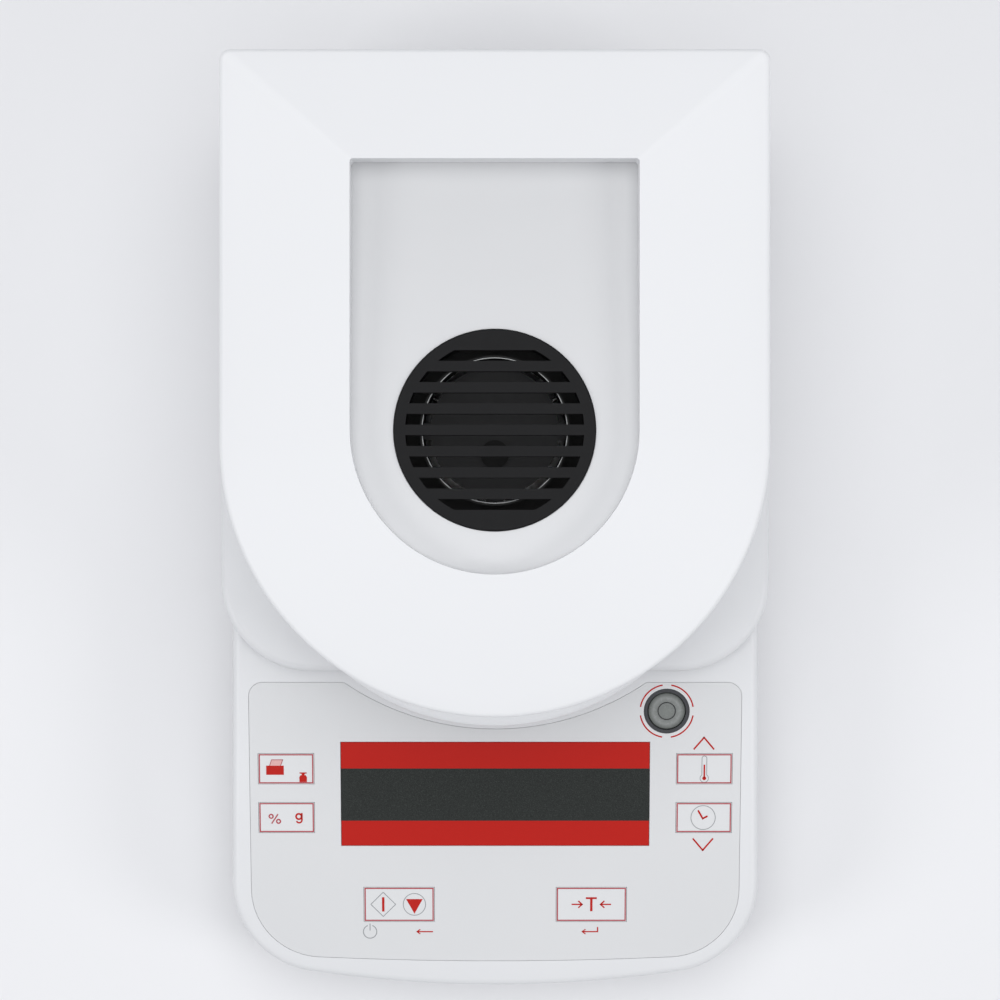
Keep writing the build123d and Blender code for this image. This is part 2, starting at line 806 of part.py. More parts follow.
foot_wheel_bottom = foot_pad_height + 0.1
foot_screw_top = foot_boss_top - 1.4
for side, side_name in ((-1, "left"), (1, "right")):
    with BuildPart() as foot_pad:
        add(post(side * rear_foot_x, rear_foot_y, foot_radius, 0, foot_pad_height))
        chamfer(foot_pad.faces().sort_by(Axis.Z)[0].edges(), foot_chamfer)
    save(foot_pad.part, f"foot_pad_{side_name}")
    with BuildPart() as foot_screw:
        with BuildSketch(Plane.XY.offset(foot_wheel_bottom)):
            with Locations((side * rear_foot_x, rear_foot_y)):
                Circle(foot_wheel_radius)
                with PolarLocations(foot_wheel_radius, foot_wheel_notches):
                    RegularPolygon(foot_wheel_notch, 4, mode=Mode.SUBTRACT)
        extrude(amount=foot_wheel_thick)
        wheel_top = foot_wheel_bottom + foot_wheel_thick
        add(post(side * rear_foot_x, rear_foot_y, foot_screw_radius, wheel_top, foot_screw_top))
    save(foot_screw.part, f"foot_screw_{side_name}")

# Screws that join the housings
housing_screw_seat = foot_height + screw_head
housing_screw_reach = split_height + housing_screw_bite - housing_screw_seat
with BuildPart() as housing_screws:
    for x, y in housing_screw_places:
        add(screw(x, y, housing_screw_seat, fit_gap - screw_head, housing_screw_reach))
save(housing_screws.part, "housing_screws")

# Chamber well, a tub whose flange is held below the deck, and its lining from the floor upwards
well_bottom = well_floor_top - well_floor_thick
flange_top = deck_height - wall
chamber_well = turned(
    (spindle_hole_radius, well_bottom),
    (well_outer, well_bottom),
    (well_outer, flange_top - well_flange_thick),
    (well_outer + well_flange, flange_top - well_flange_thick),
    (well_outer + well_flange, flange_top),
    (well_outer, flange_top),
    (well_outer, deck_height),
    (well_radius, deck_height),
    (well_radius, well_floor_top),
    (spindle_hole_radius, well_floor_top),
)
save(chamber_well, "chamber_well")

insulation_plate = turned(
    (spindle_hole_radius, well_floor_top),
    (bowl_outer, well_floor_top),
    (bowl_outer, bowl_floor),
    (spindle_hole_radius, bowl_floor),
)
save(insulation_plate, "insulation_plate")

chamber_bowl = turned(
    (spindle_hole_radius, bowl_floor),
    (bowl_outer, bowl_floor),
    (bowl_outer, deck_height),
    (well_radius + bowl_flange, deck_height),
    (well_radius + bowl_flange, deck_height + bowl_thick),
    (bowl_outer - bowl_thick, deck_height + bowl_thick),
    (bowl_outer - bowl_thick, bowl_floor + bowl_thick),
    (spindle_hole_radius, bowl_floor + bowl_thick),
)
save(chamber_bowl, "chamber_bowl")

draft_ring = turned(
    (shield_radius - shield_thick, bowl_floor + bowl_thick),
    (shield_radius, bowl_floor + bowl_thick),
    (shield_radius, bowl_floor + bowl_thick + shield_height),
    (shield_radius - shield_thick, bowl_floor + bowl_thick + shield_height),
)
save(draft_ring, "draft_ring")

# Pan carrier: a spindle up from the weighing cell, a hub and three arms with upturned tips
bracket_width = 16.0
bracket_length = 22.0
bracket_plate = 2.6
with BuildPart() as spindle_bracket:
    plate_size = (bracket_width, bracket_length, bracket_plate)
    add(block(plate_size, (-bracket_width / 2, cell_front_y - 1, cell_top)))
    add(post(0, chamber_y, spindle_radius + 2, cell_top, carrier_bottom))
    add(post(0, chamber_y, spindle_radius, carrier_bottom, carrier_bottom + carrier_socket))
save(spindle_bracket.part, "spindle_bracket")

carrier_hub = turned(
    (spindle_radius + press_gap, carrier_bottom + press_gap),
    (spindle_radius + 3, carrier_bottom + press_gap),
    (spindle_radius + 3, arm_top),
    (0, arm_top),
    (0, carrier_bottom + carrier_socket + press_gap),
    (spindle_radius + press_gap, carrier_bottom + carrier_socket + press_gap),
)
with BuildPart() as pan_support:
    add(carrier_hub)
    with BuildSketch(Plane.XY.offset(arm_top - arm_thick)):
        with Locations((0, chamber_y)):
            with PolarLocations(arm_reach / 2, 3, start_angle=30):
                Rectangle(arm_reach, arm_width)
    extrude(amount=arm_thick)
    with BuildSketch(Plane.XY.offset(arm_top)):
        with Locations((0, chamber_y)):
            with PolarLocations(arm_reach - arm_width / 2, 3, start_angle=30):
                RegularPolygon(arm_tip_radius, 12)
    extrude(amount=pan_bottom - arm_top)
save(pan_support.part, "pan_support")

pan_inner = pan_radius - pan_rim
sample_pan = turned(
    (0, pan_bottom),
    (pan_inner - pan_taper, pan_bottom),
    (pan_inner, pan_top - pan_thick),
    (pan_radius, pan_top - pan_thick),
    (pan_radius, pan_top),
    (pan_inner - pan_thick, pan_top),
    (pan_inner - pan_taper - pan_thick, pan_bottom + pan_thick),
    (0, pan_bottom + pan_thick),
)
save(sample_pan, "sample_pan")

grip_front_y = chamber_y - pan_radius - 8.5
with BuildPart() as pan_lifter:
    with BuildSketch(Plane.XY.offset(lifter_top - lifter_thick)):
        with Locations((0, chamber_y)):
            Circle(lifter_inner + lifter_width)
        with Locations((0, grip_front_y)):
            Rectangle(grip_width, pan_radius / 3, align=(Align.CENTER, Align.MIN))
        with Locations((0, chamber_y)):
            Circle(lifter_inner, mode=Mode.SUBTRACT)
    extrude(amount=lifter_thick)
    add(block((grip_width, grip_depth, grip_height), (-grip_width / 2, grip_front_y, lifter_top)))
save(pan_lifter.part, "pan_lifter")

# Weighing cell: an aluminium beam with its double hole, on a mount at the rear end
cell_mid_y = cell_front_y + cell_length / 2
cell_mid_z = cell_bottom + cell_side / 2
with BuildPart() as load_cell:
    add(block((cell_side, cell_length, cell_side), (-cell_side / 2, cell_front_y, cell_bottom)))
    with BuildSketch(Plane.YZ.offset(-cell_side)):
        with Locations((cell_mid_y, cell_mid_z)):
            with GridLocations(cell_hole_pitch, 0, 2, 1):
                Circle(cell_hole_radius)
            Rectangle(cell_hole_pitch, cell_hole_radius)
    extrude(amount=2 * cell_side, mode=Mode.SUBTRACT)
    for y in cell_screw_places:
        add(post(0, y, cell_screw_radius, cell_bottom, cell_top), mode=Mode.SUBTRACT)
save(load_cell.part, "load_cell")

mount_size = (2 * cell_mount_half, cell_mount_length, cell_bottom - floor_top)
mount_low = (-cell_mount_half, cell_rear_y + 4 - cell_mount_length, floor_top)
with BuildPart() as load_cell_mount:
    add(block(mount_size, mount_low))
    chamfer(load_cell_mount.edges().filter_by(Axis.Z), 3)
save(load_cell_mount.part, "load_cell_mount")

with BuildPart() as load_cell_screws:
    for y in cell_screw_places:
        add(stud(0, y, cell_screw_radius - press_gap, cell_bottom, cell_top))
        add(stud(0, y, cell_screw_radius + 1.5, cell_top, cell_top + cell_screw_head))
save(load_cell_screws.part, "load_cell_screws")

stop_gap = 0.05
stop_radius = 5.0
overload_stop = post(0, chamber_y, stop_radius, floor_top, cell_bottom - cell_deflection - stop_gap)
save(overload_stop, "overload_stop")

# Main board on four posts, with its processor, connector, relay and two capacitors
main_board_top = main_board_bottom + board_thick
main_board_length = main_board_rear_y - main_board_front_y
processor = (20.0, 20.0, 2.2)
connector = (30.0, 7.0, 9.0)
relay = (8.0, 26.0, 8.0)
capacitor_radius = 4.0
capacitor_height = 12.0
with BuildPart() as main_board:
    board_size = (2 * main_board_half, main_board_length, board_thick)
    add(block(board_size, (-main_board_half, main_board_front_y, main_board_bottom)))
    for x in (board_post_radius - main_board_half, main_board_half - board_post_radius):
        for y in (main_board_front_y + board_post_radius, main_board_rear_y - board_post_radius):
            add(stud(x, y, board_post_radius, floor_top, main_board_bottom))
    add(block(processor, (-processor[0] / 2, main_board_front_y + 22, main_board_top)))
    add(block(connector, (-connector[0] / 2, main_board_rear_y - 12, main_board_top)))
    add(block(relay, (main_board_half - 2 * relay[0], main_board_front_y + 16, main_board_top)))
    for place in (1, 2):
        x = 2.6 * place * capacitor_radius - main_board_half
        y = main_board_rear_y - 26
        add(stud(x, y, capacitor_radius, main_board_top, main_board_top + capacitor_height))
save(main_board.part, "main_board")

# Transformer on the left and power board on the right of the weighing cell's mount
foot_plate = 2.0
core_height = 17.0
coil_height = 12.0
core_side = bay_width - 2.0
bay_front_y = bay_rear_y - bay_length
with BuildPart() as transformer:
    plate_low = (-bay_mid_x - bay_width / 2, bay_front_y + 2, floor_top)
    add(block((bay_width, bay_length - 4, foot_plate), plate_low))
    core_low = (-bay_mid_x - core_side / 2, bay_front_y + 2.5, floor_top + foot_plate)
    add(block((core_side, bay_length - 5, core_height), core_low))
    coil_low = (-bay_mid_x - core_side / 4, bay_front_y, floor_top + foot_plate + 2.5)
    add(block((core_side / 2, bay_length, coil_height), coil_low))
save(transformer.part, "transformer")

power_board_top = power_board_bottom + board_thick
relay_room = 4.7
relay_height = inlet_z - inlet_height / 2 - power_board_top - relay_room
power_capacitor_radius = 4.5
with BuildPart() as power_board:
    board_low = (bay_mid_x - bay_width / 2, bay_front_y, power_board_bottom)
    add(block((bay_width, bay_length, board_thick), board_low))
    for x in (bay_mid_x - bay_width / 2 + 3, bay_mid_x + bay_width / 2 - 3):
        for y in (bay_front_y + 4, bay_rear_y - 4):
            add(stud(x, y, board_post_radius - 0.6, floor_top, power_board_bottom))
    relay_low = (bay_mid_x + bay_width / 2 - 10, bay_front_y + 7, power_board_top)
    add(block((9, 21, relay_height), relay_low))
    for x in (bay_mid_x - bay_width / 2 + 6, bay_mid_x):
        y = bay_rear_y - power_capacitor_radius - 4
        add(stud(x, y, power_capacitor_radius, power_board_top, power_board_top + relay_height))
save(power_board.part, "power_board")

fin_count = 5
fin_pitch = (bay_width - 15.0) / (fin_count - 1)
fin_thick = 1.2
fin_size = (8.0, 13.0)
sink_plate = 2.0
sink_low_x = bay_mid_x - bay_width / 2 + 1.5
sink_width = (fin_count - 1) * fin_pitch + fin_thick
with BuildPart() as triac_heatsink:
    sink_low_y = bay_front_y + 6
    add(block((sink_width, sink_plate, fin_size[1]), (sink_low_x, sink_low_y, power_board_top)))
    for fin in range(fin_count):
        fin_low = (sink_low_x + fin * fin_pitch, sink_low_y + sink_plate, power_board_top)
        add(block((fin_thick, *fin_size), fin_low))
save(triac_heatsink.part, "triac_heatsink")

# Mains inlet and serial port in the rear wall
inlet_face_y = base_rear_y + inlet_flange_thick
with BuildPart() as mains_inlet:
    body_size = (inlet_width, inlet_depth - inlet_flange_thick, inlet_height)
    add(block(body_size, (inlet_x - inlet_width / 2, inlet_face_y - inlet_depth, inlet_z - inlet_height / 2)))
    with BuildSketch(Plane.XZ.offset(-base_rear_y)):
        with Locations((inlet_x, inlet_z)):
            Rectangle(inlet_width + 2 * inlet_flange, inlet_height + 2 * inlet_flange)
    extrude(amount=-inlet_flange_thick)
    with BuildSketch(Plane.XZ.offset(-inlet_face_y)):
        with Locations((inlet_x, inlet_z)):
            Rectangle(inlet_width - 2 * inlet_wall, inlet_height - 2 * inlet_wall)
    extrude(amount=socket_depth, mode=Mode.SUBTRACT)
    for place in (-1, 0, 1):
        pin_x = inlet_x + place * inlet_pin_pitch - inlet_pin[0] / 2
        pin_z = inlet_z - inlet_pin[2] / 2 + (inlet_pin_step / 2 if place == 0 else -inlet_pin_step / 2)
        add(block(inlet_pin, (pin_x, inlet_face_y - socket_depth, pin_z)))
save(mains_inlet.part, "mains_inlet")

serial_proud = 1.0
with BuildPart() as serial_port:
    port_front_y = base_rear_y + serial_proud - serial_depth
    port_low = (serial_x - serial_width / 2, port_front_y, inlet_z - serial_height / 2)
    add(block((serial_width, serial_depth, serial_height), port_low))
    with BuildSketch(Plane.XZ.offset(-base_rear_y - serial_proud)):
        with Locations((serial_x, inlet_z)):
            Trapezoid(serial_mouth[0], serial_mouth[1], 80, rotation=180)
    extrude(amount=serial_mouth[2], mode=Mode.SUBTRACT)
save(serial_port.part, "serial_port")

# Hood shell with its recess, grip lip, bosses, hinge notches and the seat of the outlet grille
notch_half = ear_reach + notch_gap
notch_top = pivot_z + knuckle_radius + notch_gap + 0.3
floor_run = recess_rear_y - recess_front_y + recess_half
floor_angle = math.atan((recess_front_z - recess_rear_z) / floor_run)
grille_plane = Plane(
    origin=(0, chamber_y, floor_height(chamber_y)),
    x_dir=(1, 0, 0),
    z_dir=(0, math.sin(floor_angle), math.cos(floor_angle)),
)

with BuildPart() as hood_hollow:
    add(hood_form(hood_wall))
    add(recess_form(hood_wall, recess_floor_thick), mode=Mode.SUBTRACT)
    add(hinge_corner(hinge_radius - hood_wall, body_width), mode=Mode.SUBTRACT)
    for x, y in hood_boss_places:
        add(post(x, y, boss_radius, liner_top, overall_height), mode=Mode.SUBTRACT)

with BuildPart() as hood_shell:
    add(hood_form(0))
    roof_edge = hood_shell.edges().filter_by_position(Axis.Z, hood_edge_z - 0.1, hood_edge_z + 0.1)
    fillet(roof_edge, hood_edge_fillet)
    add(lip_form())
    add(recess_form(0, 0), mode=Mode.SUBTRACT)
    add(hinge_corner(hinge_radius, body_width + 1), mode=Mode.SUBTRACT)
    add(hood_hollow.part, mode=Mode.SUBTRACT)
    for x in (-hinge_x, hinge_x):
        notch_low = (x - notch_half, pivot_y - 2 * hinge_radius, rim_z - 1)
        add(block((2 * notch_half, 4 * hinge_radius, notch_top - rim_z + 1), notch_low), mode=Mode.SUBTRACT)
    for x, y in hood_boss_places:
        add(post(x, y, screw_radius, liner_bottom, liner_bottom + hood_screw_bite + 1), mode=Mode.SUBTRACT)
    with BuildSketch(grille_plane):
        Circle(grille_radius + fit_gap)
    extrude(amount=-grille_seat, mode=Mode.SUBTRACT)
    with BuildSketch(grille_plane):
        Circle(vent_radius)
    extrude(amount=-recess_floor_thick - hood_wall, mode=Mode.SUBTRACT)
save(hood_shell.part, "hood_shell")

# Outlet grille: a disc with eight slots that end on one circle, and a skirt that snaps in
with BuildSketch() as slot_rows:
    with GridLocations(0, slot_pitch, 1, slot_count):
        Rectangle(2 * slot_circle, slot_width)

with BuildSketch() as slot_plan:
    Circle(slot_circle)
    add(slot_rows.sketch, mode=Mode.INTERSECT)

skirt_radius = vent_radius - fit_gap
with BuildPart() as vent_grille:
    with BuildSketch(grille_plane.offset(-grille_seat)):
        Circle(grille_radius)
    extrude(amount=grille_thick)
    chamfer(vent_grille.faces().sort_by(Axis.Z)[-1].edges(), grille_chamfer)
    with BuildSketch(grille_plane.offset(-grille_seat)):
        add(slot_plan.sketch)
    extrude(amount=grille_thick + 1, mode=Mode.SUBTRACT)
    with BuildSketch(grille_plane.offset(-grille_seat)):
        Circle(skirt_radius)
        Circle(skirt_radius - grille_skirt, mode=Mode.SUBTRACT)
    extrude(amount=-grille_skirt_depth)
save(vent_grille.part, "vent_grille")

# Hood lining and what it carries
with BuildPart() as hood_liner:
    with BuildSketch(Plane.XY.offset(liner_bottom)):
        add(d_plan(0, hood_rim_half - hood_wall - liner_gap, liner_rear_y, hood_rim_y, 2.0))
        with Locations((0, chamber_y)):
            Circle(reflector_mouth, mode=Mode.SUBTRACT)
        with Locations(*hood_boss_places):
            Circle(screw_radius + fit_gap, mode=Mode.SUBTRACT)
    extrude(amount=liner_thick)
save(hood_liner.part, "hood_liner")

chimney_outer = chimney_radius + chimney_thick
reflector_edge = chimney_outer + 0.1
reflector_form = turned(
    (reflector_mouth, liner_top),
    (reflector_mouth + reflector_flange, liner_top),
    (reflector_mouth + reflector_flange, liner_top + reflector_thick),
    (reflector_mouth + reflector_thick, liner_top + reflector_thick),
    (reflector_top_radius + reflector_thick, reflector_top_z + reflector_thick),
    (reflector_edge, reflector_top_z + reflector_thick),
    (reflector_edge, reflector_top_z),
    (reflector_top_radius, reflector_top_z),
)
with BuildPart() as reflector:
    add(reflector_form)
    with BuildSketch(Plane.XZ.offset(-chamber_y - probe_setback)):
        with Locations((0, probe_z)):
            Circle(probe_radius + 0.2)
    extrude(amount=-probe_length - 10, mode=Mode.SUBTRACT)
save(reflector.part, "reflector")

# Round outlet duct above the heater, and the baffle that keeps light and radiant heat inside
chimney_top_z = floor_height(chamber_y) - grille_seat - chimney_top_drop
flange_bottom_z = reflector_top_z + reflector_thick
flange_top_z = flange_bottom_z + chimney_flange_thick
vent_chimney = turned(
    (chimney_radius, chimney_bottom_z),
    (chimney_outer, chimney_bottom_z),
    (chimney_outer, flange_bottom_z),
    (chimney_radius + chimney_flange, flange_bottom_z),
    (chimney_radius + chimney_flange, flange_top_z),
    (chimney_outer, flange_top_z),
    (chimney_outer, chimney_top_z),
    (chimney_radius, chimney_top_z),
)
save(vent_chimney, "vent_chimney")

baffle_bottom_z = flange_top_z + baffle_rise
baffle_reach = math.sqrt((chimney_radius - press_gap) ** 2 - (baffle_tab / 2) ** 2)
with BuildPart() as vent_baffle:
    with BuildSketch(Plane.XY.offset(baffle_bottom_z)):
        with Locations((0, chamber_y)):
            Circle(baffle_radius)
            Rectangle(2 * baffle_reach, baffle_tab)
            Rectangle(baffle_tab, 2 * baffle_reach)
    extrude(amount=baffle_thick)
    with BuildSketch(Plane.XY.offset(baffle_bottom_z + baffle_thick)):
        with Locations((0, chamber_y - baffle_stud_offset)):
            Circle(baffle_stud_radius)
    extrude(amount=baffle_stud_height)
save(vent_baffle.part, "vent_baffle")

# Ring-shaped halogen tube, the ceramic posts that hold it and the guard below it


def tube_form(radius, arc):
    """Ring of an eight-sided tube about the chamber's axis, open at the back."""
    start = math.radians(90 + (360 - arc) / 2)
    section_plane = Plane(
        origin=(0, chamber_y, 0),
        x_dir=(math.cos(start), math.sin(start), 0),
        z_dir=(math.sin(start), -math.cos(start), 0),
    )
    with BuildPart() as ring:
        with BuildSketch(section_plane):
            with Locations((heater_radius, heater_z)):
                RegularPolygon(radius, 8, rotation=22.5)
        revolve(axis=Axis((0, chamber_y, 0), (0, 0, 1)), revolution_arc=arc)
    return ring.part


save(tube_form(heater_tube, 360 - heater_gap_angle), "heater_ring")

with BuildPart() as heater_posts:
    with BuildSketch(Plane.XY.offset(heater_z)):
        with Locations((0, chamber_y)):
            with PolarLocations(heater_radius, 3, start_angle=150):
                RegularPolygon(holder_radius, 12)
    extrude(amount=reflector_top_z - heater_z)
    add(tube_form(heater_tube + press_gap, 360), mode=Mode.SUBTRACT)
save(heater_posts.part, "heater_posts")

guard_share = (guard_z - liner_top) / (reflector_top_z - liner_top)
guard_reach = reflector_mouth - (reflector_mouth - reflector_top_radius) * guard_share - guard_wire
guard_start = guard_rings[0] - 2
with BuildPart() as heater_guard:
    with BuildSketch(Plane.XZ.offset(-chamber_y)):
        for ring_radius in guard_rings:
            with Locations((ring_radius, guard_z)):
                RegularPolygon(guard_wire, 4, rotation=45)
    revolve(axis=Axis((0, chamber_y, 0), (0, 0, 1)))
    with BuildSketch(Plane.XY.offset(guard_z + guard_bar_rise)):
        with Locations((0, chamber_y)):
            with PolarLocations((guard_start + guard_reach) / 2, 3, start_angle=30):
                Rectangle(guard_reach - guard_start, guard_bar_width)
    extrude(amount=guard_bar_thick)
save(heater_guard.part, "heater_guard")

probe_rear_y = chamber_y + probe_setback + probe_length
with BuildPart() as temperature_probe:
    with BuildSketch(Plane.XZ.offset(-chamber_y - probe_setback)):
        with Locations((0, probe_z)):
            Circle(probe_radius)
    extrude(amount=-probe_length)
    with BuildSketch(Plane.XZ.offset(-probe_rear_y)):
        with Locations((0, probe_z)):
            Rectangle(probe_head_side, probe_head_side)
    extrude(amount=-probe_head_length)
save(temperature_probe.part, "temperature_probe")

thermostat_x = -thermostat_offset
thermostat_y = chamber_y + thermostat_offset
cap_z = flange_bottom_z + thermostat_height
with BuildPart() as thermostat:
    add(stud(thermostat_x, thermostat_y, thermostat_radius, flange_bottom_z, cap_z))
    add(stud(thermostat_x, thermostat_y, thermostat_cap_radius, cap_z, cap_z + thermostat_cap_height))
save(thermostat.part, "thermostat")

# Hinge: a knuckle on the deck at each side, a bracket with two ears in the hood, and the pin
knuckle_front_y = pivot_y - knuckle_foot_length
with BuildPart() as hinge_knuckles:
    for x in (-hinge_x, hinge_x):
        with BuildSketch(Plane.YZ.offset(x - knuckle_half)):
            with Locations((pivot_y, pivot_z)):
                Circle(knuckle_radius)
            with BuildLine():
                Polyline(
                    (knuckle_front_y, deck_height),
                    (pivot_y + 3, deck_height),
                    (pivot_y + 3, pivot_z),
                    (pivot_y - knuckle_radius, pivot_z),
                    (pivot_y - knuckle_radius - 2, deck_height + knuckle_foot_thick),
                    (knuckle_front_y, deck_height + knuckle_foot_thick),
                    close=True,
                )
            make_face()
            with Locations((pivot_y, pivot_z)):
                Circle(pin_radius + pin_run_gap, mode=Mode.SUBTRACT)
        extrude(amount=2 * knuckle_half)
save(hinge_knuckles.part, "hinge_knuckles")

with BuildPart() as hood_brackets:
    for x in (-hinge_x, hinge_x):
        for ear_x in (x - ear_reach, x + knuckle_half + ear_gap):
            with BuildSketch(Plane.YZ.offset(ear_x)):
                with Locations((pivot_y, pivot_z)):
                    Circle(ear_radius)
                with BuildLine():
                    Polyline(
                        (pivot_y - ear_radius, pivot_z),
                        (bracket_back_y, pivot_z),
                        (bracket_back_y, bracket_low + bracket_height),
                        (bracket_back_y - bracket_thick, bracket_low + bracket_height),
                        (pivot_y - ear_radius, bracket_low + 4),
                        close=True,
                    )
                make_face()
                with Locations((pivot_y, pivot_z)):
                    Circle(pin_radius + press_gap, mode=Mode.SUBTRACT)
            extrude(amount=ear_thick)
        bridge_width = 2 * (knuckle_half + ear_gap)
        bridge_low = (x - bridge_width / 2, bracket_back_y - bracket_thick, bracket_low)
        add(block((bridge_width, bracket_thick, bracket_height), bridge_low))
save(hood_brackets.part, "hood_brackets")

with BuildPart() as hinge_pins:
    for x in (-hinge_x, hinge_x):
        with BuildSketch(Plane.YZ.offset(x - ear_reach)):
            with Locations((pivot_y, pivot_z)):
                Circle(pin_radius)
        extrude(amount=2 * ear_reach)
save(hinge_pins.part, "hinge_pins")

# Small parts between hood and deck
bumper_radius = 4.0
bumper_reach = hood_rim_half - 13.4
bumper_angle = math.radians(48.65)
bumper_x = bumper_reach * math.cos(bumper_angle)
bumper_y = hood_rim_y - bumper_reach * math.sin(bumper_angle)
with BuildPart() as hood_bumpers:
    for x in (-bumper_x, bumper_x):
        add(stud(x, bumper_y, bumper_radius, deck_height, liner_bottom - 0.1))
save(hood_bumpers.part, "hood_bumpers")

magnet_y = collar_y - collar_radius + 8.0
magnet_thick = 3.0
save(stud(0, magnet_y, 4.0, liner_top, liner_top + magnet_thick), "hood_magnet")

sensor_size = (20.0, 5.0, 3.0)
sensor_low = (-sensor_size[0] / 2, magnet_y - sensor_size[1] / 2, deck_height - wall - sensor_size[2])
save(block(sensor_size, sensor_low), "reed_sensor")

hood_screw_head = 1.2
with BuildPart() as hood_screws:
    for x, y in hood_boss_places:
        add(screw(x, y, liner_bottom, -hood_screw_head, hood_screw_bite))
save(hood_screws.part, "hood_screws")
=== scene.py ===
"""The looks of a bench moisture analyzer: finishes, fine detail, printed keys, display and studio."""

import json
import math

import bmesh
import bpy
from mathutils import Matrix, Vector

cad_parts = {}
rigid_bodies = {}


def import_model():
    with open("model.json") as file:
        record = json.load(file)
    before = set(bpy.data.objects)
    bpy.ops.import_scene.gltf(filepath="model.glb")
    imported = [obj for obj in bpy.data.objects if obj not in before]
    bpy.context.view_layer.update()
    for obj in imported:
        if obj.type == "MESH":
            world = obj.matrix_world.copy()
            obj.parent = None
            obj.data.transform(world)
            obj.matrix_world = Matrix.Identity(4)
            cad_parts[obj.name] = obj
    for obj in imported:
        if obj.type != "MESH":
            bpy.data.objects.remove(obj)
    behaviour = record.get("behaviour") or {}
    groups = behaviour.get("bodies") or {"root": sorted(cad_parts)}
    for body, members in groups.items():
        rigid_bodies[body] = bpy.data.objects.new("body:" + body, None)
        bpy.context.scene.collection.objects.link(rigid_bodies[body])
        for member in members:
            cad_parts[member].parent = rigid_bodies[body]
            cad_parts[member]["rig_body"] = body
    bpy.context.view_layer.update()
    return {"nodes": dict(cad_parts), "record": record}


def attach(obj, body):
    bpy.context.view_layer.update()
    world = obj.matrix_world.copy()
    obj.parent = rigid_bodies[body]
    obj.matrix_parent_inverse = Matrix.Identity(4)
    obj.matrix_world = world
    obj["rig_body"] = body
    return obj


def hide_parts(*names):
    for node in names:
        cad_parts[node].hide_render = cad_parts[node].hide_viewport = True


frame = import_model()
nodes = frame["nodes"]
mm = 0.001

# Camera: straight above the instrument, as far up and aimed as the photograph was taken
camera_height = 0.850
camera_x = 0.0015
camera_y = 0.0133
camera_lens = 92.9
camera_sensor = 36.0

# Front panel: a plane through its middle, sloping down to the front
panel_mid_y = -90.0
panel_mid_z = 42.5
panel_slope = math.radians(8.7)
panel_normal = Vector((0, -math.sin(panel_slope), math.cos(panel_slope)))
ink_lift = 0.015
ink_thick = 0.03

# Chamber and outlet line
chamber_y = 33.0


# Shader maths


class Socket:
    """A socket of a finish's node tree, with arithmetic that adds Math nodes."""

    def __init__(self, finish, output):
        self.finish = finish
        self.output = output

    def maths(self, operation, *others):
        sockets = dict(enumerate((self, *others)))
        return self.finish.node("ShaderNodeMath", {"operation": operation}, sockets)

    def __add__(self, other):
        return self.maths("ADD", other)

    def __sub__(self, other):
        return self.maths("SUBTRACT", other)

    def __rsub__(self, other):
        return self.maths("MULTIPLY_ADD", -1.0, other)

    def __mul__(self, other):
        return self.maths("MULTIPLY", other)

    def __gt__(self, other):
        return self.maths("GREATER_THAN", other)

    def __lt__(self, other):
        return self.maths("LESS_THAN", other)

    __radd__ = __add__
    __rmul__ = __mul__

    def between(self, low, high):
        return (self > low) * (self < high)

    def near(self, middle, half):
        """1 close to a value and 0 further away than half."""
        return self.maths("COMPARE", middle, half)


